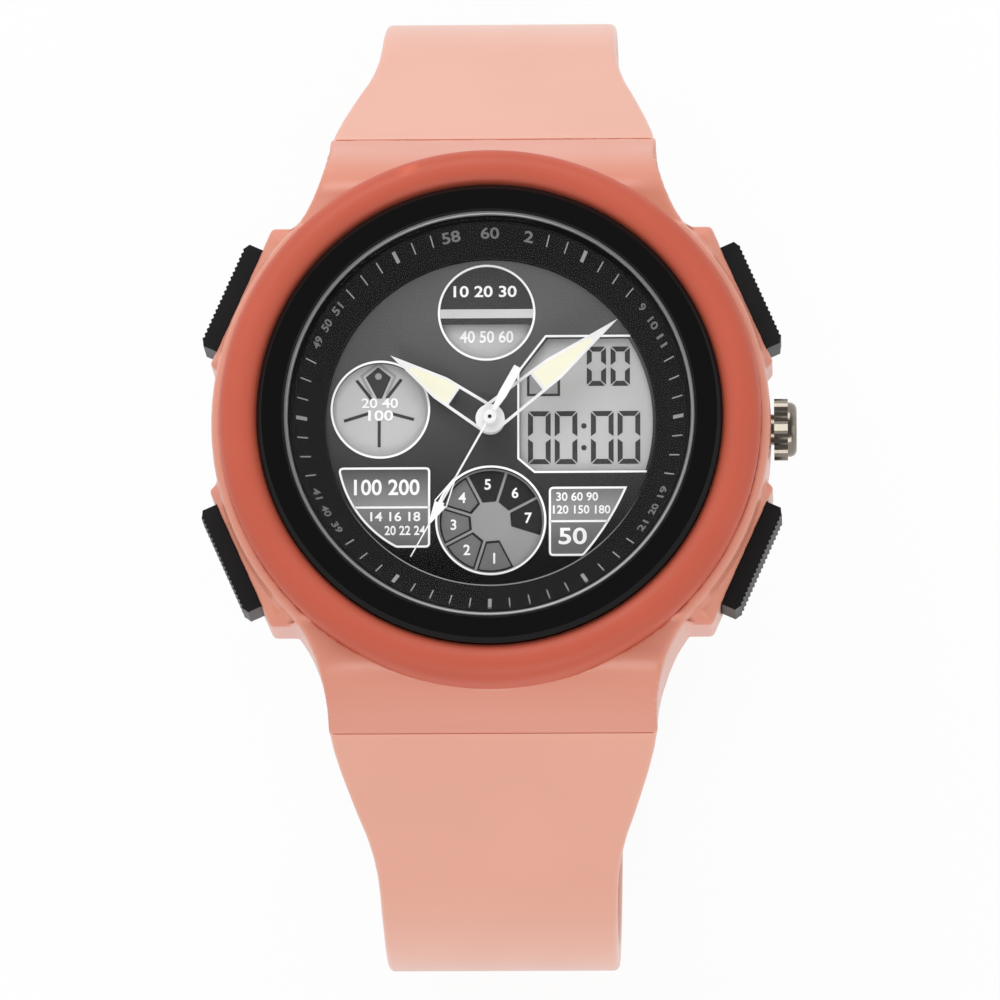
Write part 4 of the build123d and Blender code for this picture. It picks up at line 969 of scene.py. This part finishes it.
class WATCH_OT_crystal(bpy.types.Operator):
    """Makes the crystal clear and adds the bead round its edge"""
    bl_idname = "watch.crystal"
    bl_label = "Crystal"

    def execute(self, context):
        dress("crystal_glass")
        add_bead()
        return {"FINISHED"}


class WATCH_OT_movement(bpy.types.Operator):
    """Dresses the module, the motor and the train inside the case"""
    bl_idname = "watch.movement"
    bl_label = "Movement"

    def execute(self, context):
        dress("module_frame", "circuit_board", "chip_cover", "quartz_can", "battery", "battery_clamp",
              "button_contacts", "movement_plate", "train_bridge", "motor_coil", "motor_stator", "rotor",
              "fifth_wheel", "second_wheel", "third_wheel", "centre_wheel", "minute_wheel", "hour_wheel",
              "buzzer_disc")
        return {"FINISHED"}


class WATCH_OT_stage(bpy.types.Operator):
    """Sets up the pale floor, the soft lights and the camera"""
    bl_idname = "watch.stage"
    bl_label = "Studio"

    def execute(self, context):
        studio = context.scene.watch_studio
        context.scene.view_settings.view_transform = "Standard"
        lay_floor()
        light_world(context.scene, studio.fill)
        hang_lamps(studio.key)
        place_camera(context.scene, studio)
        return {"FINISHED"}


# Case shell

def plan_half(y):
    """Half width of a hood at this distance from the middle line, as it narrows to the seam."""
    share = min(max((y - HOOD_ROOT_Y) / (SEAM_Y - HOOD_ROOT_Y), 0), 1)
    return HOOD_SEAM_HALF + (HOOD_ROOT_HALF - HOOD_SEAM_HALF) * (1 - share) ** HOOD_TAPER


def past_seam(y, z):
    """How far a point lies beyond the seam's face, along the strap."""
    return (y - SEAM_Y) * cos(STRAP_SLOPE) - (z - SEAM_Z) * sin(STRAP_SLOPE)


def skin_height(x, y, z):
    """Height of the shell's top skin at a point of its mesh, or None where the point isn't on that skin."""
    radius = hypot(x, y)
    if radius < BEZEL_RADIUS - BEZEL_PLAY:
        return None
    crest_y, crest_z = SOLID_CREST
    half = plan_half(y)
    if y > HOOD_ROOT_Y and x < half + SOLID_SKIN / 2:
        solid = crest_z - max(y - crest_y, 0) * (crest_z - SEAM_Z) / (SEAM_Y - crest_y)
        depth = HOOD_SKIN if past_seam(y, z) < -SEAM_FACE else SEAM_SKIN
        if z < solid - depth:
            return None
        bend = max(y - HOOD_BEND_Y, 0) / (SEAM_Y - HOOD_BEND_Y)
        roll = HOOD_SIDE_ROLL * min(x / half, 1) ** HOOD_SIDE_BEND
        return HOOD_TOP - (HOOD_TOP - SEAM_Z) * bend ** HOOD_BEND - roll * (1 - bend)
    share = (radius - BEZEL_RADIUS) / (CASE_RADIUS - BEZEL_RADIUS)
    if share > 1 or z < SHOULDER_FOOT - SOLID_SKIN:
        return None
    return SHOULDER_FOOT + SHOULDER_RISE * sqrt(1 - max(share, 0) ** 2)


def shape_shell(mesh):
    """Moves the top of the shell to its rolled skin, and its ends out to the seams."""
    for vertex in mesh.vertices:
        x, y, z = vertex.co / MM
        z = skin_height(abs(x), abs(y), z) or z
        along = past_seam(abs(y), z)
        if abs(y) > HOOD_ROOT_Y and along > -SEAM_REACH and z > SEAM_Z - SEAM_DEPTH:
            past = SEAM_TIP + (UPPER_SEAM_PAST if y > 0 else LOWER_SEAM_PAST)
            shift = past * min(1 + along / SEAM_REACH, 1)
            y += shift * cos(STRAP_SLOPE) * (1 if y > 0 else -1)
            z -= shift * sin(STRAP_SLOPE)
        vertex.co = Vector((x, y, z)) * MM
    made = bmesh.new()
    made.from_mesh(mesh)
    bmesh.ops.remove_doubles(made, verts=made.verts, dist=SHELL_MERGE * MM)
    bmesh.ops.dissolve_degenerate(made, edges=made.edges, dist=SHELL_MERGE * MM / 4)
    made.to_mesh(mesh)
    made.free()


# Strap halves

def half_width(drop):
    """Half width of the strap at this drop below the seam."""
    for (before, wide), (after, narrow) in zip(STRAP_HALVES, STRAP_HALVES[1:]):
        if drop <= after:
            share = max(drop - before, 0) / (after - before)
            return wide + (narrow - wide) * share
    return STRAP_HALVES[-1][1]


def run_to_flat(side, past, bottom):
    """Outer skin of a strap half from the seam to the flat: place, outward normal, thickness, half width."""
    start = (SEAM_Y + past * cos(STRAP_SLOPE), SEAM_Z - past * sin(STRAP_SLOPE))
    bend = (SIDE_CENTRE_Y + SIDE_RADIUS * sin(STRAP_SLOPE), WIDEST_Z + SIDE_RADIUS * cos(STRAP_SLOPE))
    skin = []
    for n in range(RUN_STEPS + 1):
        share = n / RUN_STEPS
        thick = STRAP_ROOT_THICKNESS + (STRAP_THICKNESS - STRAP_ROOT_THICKNESS) * share
        y, z = (first + (last - first) * share for first, last in zip(start, bend))
        skin.append((y, z, STRAP_SLOPE, thick))
    corner = WIDEST_Z - bottom
    for middle, radius, first, last, steps in (
            (SIDE_CENTRE_Y, SIDE_RADIUS, STRAP_SLOPE, pi / 2, SIDE_STEPS),
            (SIDE_CENTRE_Y + SIDE_RADIUS - corner, corner, pi / 2, pi, RUN_STEPS)):
        for n in range(1, steps + 1):
            angle = first + (last - first) * n / steps
            y, z = middle + radius * sin(angle), WIDEST_Z + radius * cos(angle)
            skin.append((y, z, angle, STRAP_THICKNESS))
    return [(side * y, z, (side * sin(angle), cos(angle)), thick, half_width(SEAM_Z - z))
            for y, z, angle, thick in skin]


def upper_stations():
    """The 12 o'clock half, on to the round knuckle at the buckle's bar."""
    stations = run_to_flat(1, UPPER_SEAM_PAST, UPPER_BOTTOM)
    flat, half = stations[-1][0], stations[-1][4]
    for n in range(1, FLAT_STEPS + 1):
        stations.append((flat + (BAR_Y - flat) * n / FLAT_STEPS, UPPER_BOTTOM, DOWN, STRAP_THICKNESS, half))
    for n in range(1, KNUCKLE_STEPS):
        turn = pi / 2 * n / KNUCKLE_STEPS
        thick = STRAP_THICKNESS * cos(turn)
        y, z = BAR_Y - STRAP_THICKNESS / 2 * sin(turn), UPPER_BOTTOM + (STRAP_THICKNESS - thick) / 2
        stations.append((y, z, DOWN, thick, half))
    return stations


def lower_stations():
    """The 6 o'clock half, over the buckle's crossbar and on as the rounded tail."""
    stations = run_to_flat(-1, LOWER_SEAM_PAST, 0)
    half = stations[-1][4]
    tail = TAIL_END - TAIL_ROUND
    y0, z0 = -FOOT_Y, 0
    for y1, z1, steps in ((PASS_Y[0], PASS_BOTTOM, 12), (PASS_Y[1], PASS_BOTTOM, 2),
                          (LEVEL_Y, TAIL_BOTTOM, 10), (tail, TAIL_BOTTOM, 8)):
        for n in range(1, steps + 1):
            share = n / steps
            ease = share * share * (3 - 2 * share)
            stations.append((y0 + (y1 - y0) * share, z0 + (z1 - z0) * ease, DOWN, STRAP_THICKNESS, half))
        y0, z0 = y1, z1
    for n in range(1, TAIL_STEPS):
        turn = pi / 2 * n / TAIL_STEPS
        stations.append((tail + TAIL_ROUND * sin(turn), TAIL_BOTTOM, DOWN, STRAP_THICKNESS,
                         half - TAIL_ROUND + TAIL_ROUND * cos(turn)))
    return stations


def strap_section(half, thick):
    """The strap's section, across and inward, with rounded corners."""
    radius = min(STRAP_ROUND, thick * STRAP_ROUND_SHARE)
    section = []
    for x, depth, start in ((half - radius, radius, -pi / 2), (half - radius, thick - radius, 0),
                            (radius - half, thick - radius, pi / 2), (radius - half, radius, pi)):
        section += arc(x, depth, radius, start, pi / 2, 5)
    return section


def loft_strap(name, stations):
    """One closed skin through the sections at all stations."""
    strap = Solids()
    strap.loft([[(x, y - out_y * depth, z - out_z * depth) for x, depth in strap_section(half, thick)]
                for y, z, (out_y, out_z), thick, half in stations])
    return strap.piece(name, "strap_resin", smooth=True)


def cut(piece, cutters):
    """Takes the cutters' shapes out of a piece."""
    tool = linked("cutters", cutters.mesh("cutters"))
    taken = piece.modifiers.new("cut", "BOOLEAN")
    taken.operation = "DIFFERENCE"
    taken.object = tool
    apply_modifiers(piece).set_sharp_from_angle(angle=SHARP_ANGLE)
    bpy.data.objects.remove(tool)


def knuckle_slot():
    """The slot between the two knuckles, where the buckle's tongue turns."""
    width, low, high = KNUCKLE_SLOT
    slot = Solids()
    slot.slab(rectangle(-width / 2, width / 2, low, high), UPPER_BOTTOM - STRAP_THICKNESS,
              UPPER_BOTTOM + 2 * STRAP_THICKNESS)
    return slot


def strap_holes():
    """The adjustment holes; past the foot they follow the loop's lower corner."""
    holes = Solids()
    wide, long = HOLE_SIZE[0] / 2, HOLE_SIZE[1] / 2
    pivot = Matrix.Translation((0, -FOOT_Y, WIDEST_Z))
    for n in HOLES:
        y = HOLE_FIRST + n * HOLE_PITCH
        place = max(y, -FOOT_Y)
        turn = pivot @ Matrix.Rotation((y - place) / WIDEST_Z, 4, "X") @ pivot.inverted()
        outline = softened(rectangle(-wide, wide, place - long, place + long), wide / 3)
        holes.slab(outline, -STRAP_THICKNESS, PASS_BOTTOM + 2 * STRAP_THICKNESS, turn)
    return holes


# Hands and crystal edge

def along_second(distance, side=0.0):
    """A point beside the second hand, at this distance from the hub."""
    return (distance * cos(SECOND_ANGLE) - side * sin(SECOND_ANGLE),
            distance * sin(SECOND_ANGLE) + side * cos(SECOND_ANGLE))


def add_arrow():
    """The fork and the filled arrow near the second hand's tip."""
    low, high = SECOND_TOP - 2 * INK, SECOND_TOP
    arrow = Solids()
    base = [along_second(ARROW_BASE, side * ARROW_HALF) for side in (1, -1)]
    for corner in base:
        arrow.ribbon([along_second(FORK_START), corner], FORK_LINE, low, high)
    arrow.slab([*base, along_second(ARROW_TIP)], low, high)
    arrow.piece("second_hand_arrow", "hand_silver", "second_body")


def add_hub_cap():
    """The polished cap on the hub, with the dark end of the arbor in it."""
    top = SECOND_TOP + CAP_RISE
    cap = Solids()
    cap.loft([[(x, y, level) for x, y in circle(0, 0, radius, 48)]
              for radius, level in ((CAP_RADIUS, SECOND_TOP), (CAP_RADIUS, SECOND_TOP + CAP_RISE / 2),
                                    (CAP_RADIUS * CAP_TOP_SHARE, top))])
    cap.piece("hub_cap", "hand_silver", "second_body")
    dot = Solids()
    dot.slab(circle(0, 0, PIN_DOT_RADIUS, 24), top, top + INK)
    dot.piece("arbor_end", "cell_dark", "second_body")


def add_bead():
    """The fine bright bead between crystal and ring."""
    section = circle(BEAD_RADIUS, GLASS[1].z - BEAD_SINK, BEAD_HALF, 16)
    bead = Solids()
    bead.loft([[(radius * x, radius * y, level) for radius, level in section]
               for x, y in circle(0, 0, 1, 3 * ARC_STEPS)], closed=True)
    bead.piece("crystal_edge_bead", "bead", smooth=True)


# Dial prints

def print_outlines():
    """The white lines round the discs, the display window and the boxes, and the boxes' bars."""
    lines = Solids()
    high = DIAL_TOP + RAISED
    for (x, y), radius in ((TOP_DISC, TOP_DISC_LINE), (LEFT_DISC, LEFT_DISC_LINE), (DAY_DISC, DAY_DISC_LINE)):
        lines.ribbon(circle(x, y, radius, 2 * ARC_STEPS), OUTLINE_WIDTH, DIAL_TOP, high, closed=True)
    lines.ribbon(WINDOW_LINE, OUTLINE_WIDTH, DIAL_TOP, high)
    for outline, bar in boxes():
        lines.ribbon(softened(outline, BOX_CORNER), OUTLINE_WIDTH, DIAL_TOP, high, closed=True)
        ends = sorted(point for point in cut_at(outline, bar, True) if point[1] == bar)
        lines.ribbon(ends, OUTLINE_WIDTH, DIAL_TOP, high)
    lines.piece("dial_outlines", "print_white")


def boxes():
    """Outline and bar height of the left and the right box."""
    left, bottom_left, right, bottom, top = LEFT_BOX
    outline = bulged((left, top), (bottom_left, bottom), LEFT_BOX_SAG) + [(right, bottom), (right, top)]
    yield outline, LEFT_BOX_BAR
    left, right, bottom_right, bottom, top = RIGHT_BOX
    outline = [(left, top), (left, bottom)] + bulged((bottom_right, bottom), (right, top), RIGHT_BOX_SAG)
    yield outline, RIGHT_BOX_BAR


def cut_at(outline, level, above):
    """The part of a closed outline above or below this height."""
    made = []
    for (x0, y0), (x1, y1) in zip(outline[-1:] + outline, outline):
        if (y0 - level) * (y1 - level) < 0:
            made.append((x0 + (x1 - x0) * (level - y0) / (y1 - y0), level))
        if (y1 > level) == above:
            made.append((x1, y1))
    return made


def print_boxes():
    """The graded grounds of the two boxes, each with an upper and a lower part."""
    for slot, above in (("upper_box", True), ("lower_box", False)):
        ground = Solids()
        for outline, bar in boxes():
            ground.slab(cut_at(outline, bar, above), DIAL_TOP, DIAL_TOP + INK)
        ground.piece(slot + "_ground", slot)


def print_top_disc():
    """The dark upper half, the silver bar and the dark line below it."""
    x, y = TOP_DISC
    for name, slot, thick, spans in (
            ("top_disc_dark", "disc_dark", INK, ((TOP_BAR[1], y + TOP_DISC_FILL), TOP_DARK_LINE)),
            ("top_disc_bar", "bar_silver", RAISED, (TOP_BAR,))):
        part = Solids()
        for span in spans:
            part.slab(disc_slice(x, y, TOP_DISC_FILL, *span), DIAL_TOP, DIAL_TOP + thick)
        part.piece(name, slot)


def print_words(name, rows, low):
    """White plain numbers on one level, from rows of text, height, width and place."""
    words = Solids()
    for text, height, width, place in rows:
        words.words(text, height, width, low, low + INK, Matrix.Translation((*place, 0)))
    words.piece(name, "print_white")


# Display segments and what lies in the round windows

def digit_zero(solids, left, base, wide, high):
    """The six segments of a nought, with slanted gaps between them."""
    thick, gap = SEGMENT_WIDTH, SEGMENT_GAP
    side, top = wide / 2, high / 2
    level = [(gap - side, top), (thick + gap / 2 - side, top - thick), (side - thick - gap / 2, top - thick),
             (side - gap, top)]
    upright = [(side, top - gap), (side, gap), (side - thick, thick), (side - thick, top - thick - gap / 2)]
    for shape, turn_x, turn_y in ((level, 1, 1), (level, 1, -1), (upright, 1, 1), (upright, 1, -1),
                                  (upright, -1, 1), (upright, -1, -1)):
        outline = moved([(turn_x * x, turn_y * y) for x, y in shape], left + side, base + top)
        solids.slab(outline, PANEL_TOP, PANEL_TOP + INK)


def lay_digits():
    """The display's noughts, the colon and the small sign frame with its fill."""
    marks = Solids()
    for lefts, base, size in ((BIG_DIGITS, BIG_DIGIT_BASE, BIG_DIGIT_SIZE),
                              (SMALL_DIGITS, SMALL_DIGIT_BASE, SMALL_DIGIT_SIZE)):
        for left in lefts:
            digit_zero(marks, left, base, *size)
    for y in COLON_Y:
        marks.slab(circle(COLON_X, y, DOT_RADIUS, 16), PANEL_TOP, PANEL_TOP + INK)
    sign = rectangle(*SIGN_BOX)
    marks.ribbon(sign, SEGMENT_WIDTH / 2, PANEL_TOP, PANEL_TOP + INK, closed=True)
    marks.piece("display_segments", "segment_dark")
    fill = Solids()
    fill.slab(sign, PANEL_TOP, PANEL_TOP + INK / 2)
    fill.piece("sign_fill", "disc_grey")


def lay_left_disc():
    """The kite, its dot and border, and the five spokes of the left disc, with the discs' numerals."""
    low, high = PANEL_TOP, PANEL_TOP + INK
    marks = Solids()
    marks.slab(moved(KITE, *LEFT_DISC), low, high)
    for spoke in SPOKES:
        marks.ribbon(moved(spoke, *LEFT_DISC), SPOKE_WIDTH, low, high)
    marks.piece("left_disc_spokes", "segment_dark")
    border = Solids()
    border.ribbon(moved(KITE_BORDER, *LEFT_DISC), KITE_BORDER_WIDTH, low, high)
    border.slab(moved(circle(*KITE_DOT, 20), *LEFT_DISC), high, high + INK)
    border.piece("kite_border", "disc_grey")
    print_words("disc_numerals", DISC_WORDS, high)


def weekday_cell(middle, inner, outer, gap):
    """One wedge of the weekday disc, straight along its inner edge."""
    near, far = (radians(DAY_STEP / 2) - gap / radius for radius in (inner, outer))
    return [*arc(*DAY_DISC, inner, middle + near, -2 * near, 1),
            *arc(*DAY_DISC, outer, middle - far, 2 * far, 8)]


def lay_weekday_cells():
    """Seven wedges round the light middle, with the plain numbers 1 to 7."""
    ground = Solids()
    ground.slab(circle(*DAY_DISC, DAY_GROUND), PANEL_TOP, PANEL_TOP + INK)
    ground.piece("weekday_ground", "disc_grey")
    low, high = PANEL_TOP + INK, PANEL_TOP + 2 * INK
    dark = Solids()
    pale = Solids()
    words = []
    for number in range(1, DAY_COUNT + 1):
        middle = radians(DAY_START - (number - 1) * DAY_STEP)
        dark.slab(weekday_cell(middle, DAY_INNER, DAY_OUTER, DAY_GAP), low, high)
        if number not in DAY_DARK:
            pale.slab(weekday_cell(middle, DAY_FILL_INNER, DAY_FILL_OUTER, DAY_FILL_GAP), high, high + INK)
        words.append((str(number), DAY_WORD_HEIGHT, None, arc(*DAY_DISC, DAY_WORD_RADIUS, middle, 0, 1)[0]))
    dark.piece("weekday_cells", "cell_dark")
    pale.piece("weekday_cell_fills", "cell_grey")
    print_words("weekday_numerals", words, high + INK)


# Minute track

def minute_angle(minute):
    return radians(90 - 6 * minute)


def print_ticks():
    """A tick for each minute that has no numeral; some are broad."""
    ticks = Solids()
    for minute in range(60):
        if minute in NUMERAL_MINUTES + TOP_NUMERAL_MINUTES + BARE_MINUTES:
            continue
        half = BROAD_TICK_HALF if minute in BROAD_TICKS else TICK_HALF
        angle = minute_angle(minute)
        start = on_slope(TRACK_INNER, angle, False)
        reach = (on_slope(TRACK_OUTER, angle, False).translation - start.translation).length
        ticks.slab(rectangle(-half, half, 0, reach), 0, INK, start)
    ticks.piece("minute_track", "track_grey")


def print_edge_line():
    """A painted highlight line where the chapter ring meets the dial, light towards 6 o'clock."""
    line = Solids()
    radius, width = RING_EDGE_HIGHLIGHT
    top = on_slope(radius + width / 2, 0, False).translation.z
    line.ribbon(circle(0, 0, radius, 2 * ARC_STEPS), width, top - RAISED, top + RAISED / 2, closed=True)
    line.piece("chapter_ring_edge_highlight", "ring_edge_highlight")


def print_track_numerals():
    words = Solids()
    for minute in NUMERAL_MINUTES:
        place = on_slope(NUMERAL_RADIUS, minute_angle(minute), 15 < minute < 45)
        width = NUMERAL_WIDTH if minute > 9 else NUMERAL_WIDTH / 2
        words.words(str(minute), NUMERAL_HEIGHT, width, 0, INK, place)
    for minute in TOP_NUMERAL_MINUTES:
        place = on_slope(TOP_NUMERAL_RADIUS, minute_angle(minute), False)
        words.words(str(minute or 60), TOP_NUMERAL_HEIGHT, None, 0, INK, place)
    words.piece("track_numerals", "numeral_grey")


# Studio

def lay_floor():
    """A wide pale floor that shows white and keeps a faint shadow."""
    corners = rectangle(-FLOOR_HALF, FLOOR_HALF, -FLOOR_HALF, FLOOR_HALF)
    mesh = bpy.data.meshes.new("floor")
    mesh.from_pydata([(x, y, 0) for x, y in corners], [], [(0, 1, 2, 3)])
    pale = Finish("pale floor", Base_Color=(0.9, 0.9, 0.9, 1), Roughness=0.9, Specular_IOR_Level=0.1)
    share = math_node(pale.tree, "MULTIPLY", seen_directly(pale.tree), FLOOR_GLOW)
    mesh.materials.append(pale.blend(share, add_node(pale.tree, "Emission").outputs["Emission"]))
    linked("floor", mesh)


def seen_directly(tree):
    """1 for the camera and in reflections and glass, 0 for the light that falls on things."""
    ray = add_node(tree, "LightPath").outputs
    seen = math_node(tree, "MAXIMUM", ray["Is Camera Ray"], ray["Is Glossy Ray"])
    return math_node(tree, "MAXIMUM", seen, ray["Is Transmission Ray"])


def light_world(scene, fill):
    """White for the camera; reflections see a darker ceiling; a plain level lights the object."""
    scene.world = bpy.data.worlds.new("soft studio")
    scene.world.use_nodes = True
    tree = scene.world.node_tree
    ray = add_node(tree, "LightPath").outputs
    ceiling = mapped(tree, along_axes(tree, "Generated")["Z"], *CEILING)
    white = math_node(tree, "MAXIMUM", ray["Is Camera Ray"], ray["Is Transmission Ray"])
    seen = math_node(tree, "MAXIMUM", white, math_node(tree, "MULTIPLY", ray["Is Glossy Ray"], ceiling))
    dull = math_node(tree, "MULTIPLY", ray["Is Diffuse Ray"], fill)
    plug(tree.nodes["Background"], Color=WHITE, Strength=math_node(tree, "MAXIMUM", seen, dull))


def hang_lamps(power):
    """A key box behind 12 o'clock and weaker ones on the other sides, all aimed at the watch."""
    for name, place, size, share in LAMPS:
        lamp = bpy.data.lights.new(name, "AREA")
        lamp.shape = "RECTANGLE"
        lamp.size, lamp.size_y = size
        lamp.energy = power * share
        holder = linked(name, lamp)
        holder.location = place
        holder.visible_transmission = False
        holder.rotation_mode = "QUATERNION"
        holder.rotation_quaternion = (Vector(LAMP_AIM) - Vector(place)).to_track_quat("-Z", "Y")


def place_camera(scene, studio):
    """The camera at the photograph's viewing angle, upright along Y."""
    lens = bpy.data.cameras.new("camera")
    scene.camera = linked("camera", lens)
    a, e = studio.azimuth, studio.elevation
    back = Vector((sin(a) * cos(e), -cos(a) * cos(e), sin(e)))
    across = Vector((0, 1, 0)).cross(back).normalized()
    matrix = Matrix((across, back.cross(across), back)).transposed().to_4x4()
    matrix.translation = Vector((studio.aim_x, studio.aim_y, RING[1].z * MM)) + back * studio.distance
    scene.camera.matrix_world = matrix
    lens.lens = lens.sensor_width * studio.distance / studio.width
    lens.clip_start, lens.clip_end = 0.01, 20


# Panel and registration

class WATCH_PT_pieces(bpy.types.Panel):
    """Lists the watch's pieces and settings"""
    bl_idname = "WATCH_PT_pieces"
    bl_label = "Ana-digi watch"
    bl_space_type = "VIEW_3D"
    bl_region_type = "UI"
    bl_category = "Watch"

    def draw(self, context):
        for operator in OPERATORS:
            self.layout.operator(operator.bl_idname)
        for group in SETTINGS:
            settings = getattr(context.scene, group)
            for name in settings.__annotations__:
                self.layout.prop(settings, name)


SETTINGS = {"watch_resin": ResinSettings, "watch_dial": DialSettings, "watch_studio": StudioSettings}
OPERATORS = (WATCH_OT_stage, WATCH_OT_case, WATCH_OT_strap, WATCH_OT_buckle, WATCH_OT_controls, WATCH_OT_dial,
             WATCH_OT_display, WATCH_OT_track, WATCH_OT_hands, WATCH_OT_crystal, WATCH_OT_movement)


def register():
    for made in (*SETTINGS.values(), *OPERATORS, WATCH_PT_pieces):
        bpy.utils.register_class(made)
    for name, kind in SETTINGS.items():
        setattr(bpy.types.Scene, name, PointerProperty(type=kind))


def unregister():
    for name in SETTINGS:
        delattr(bpy.types.Scene, name)
    for made in reversed((*SETTINGS.values(), *OPERATORS, WATCH_PT_pieces)):
        bpy.utils.unregister_class(made)


def main():
    register()
    for operator in OPERATORS:
        family, name = operator.bl_idname.split(".")
        getattr(getattr(bpy.ops, family), name)()


if __name__ == "__main__":
    main()
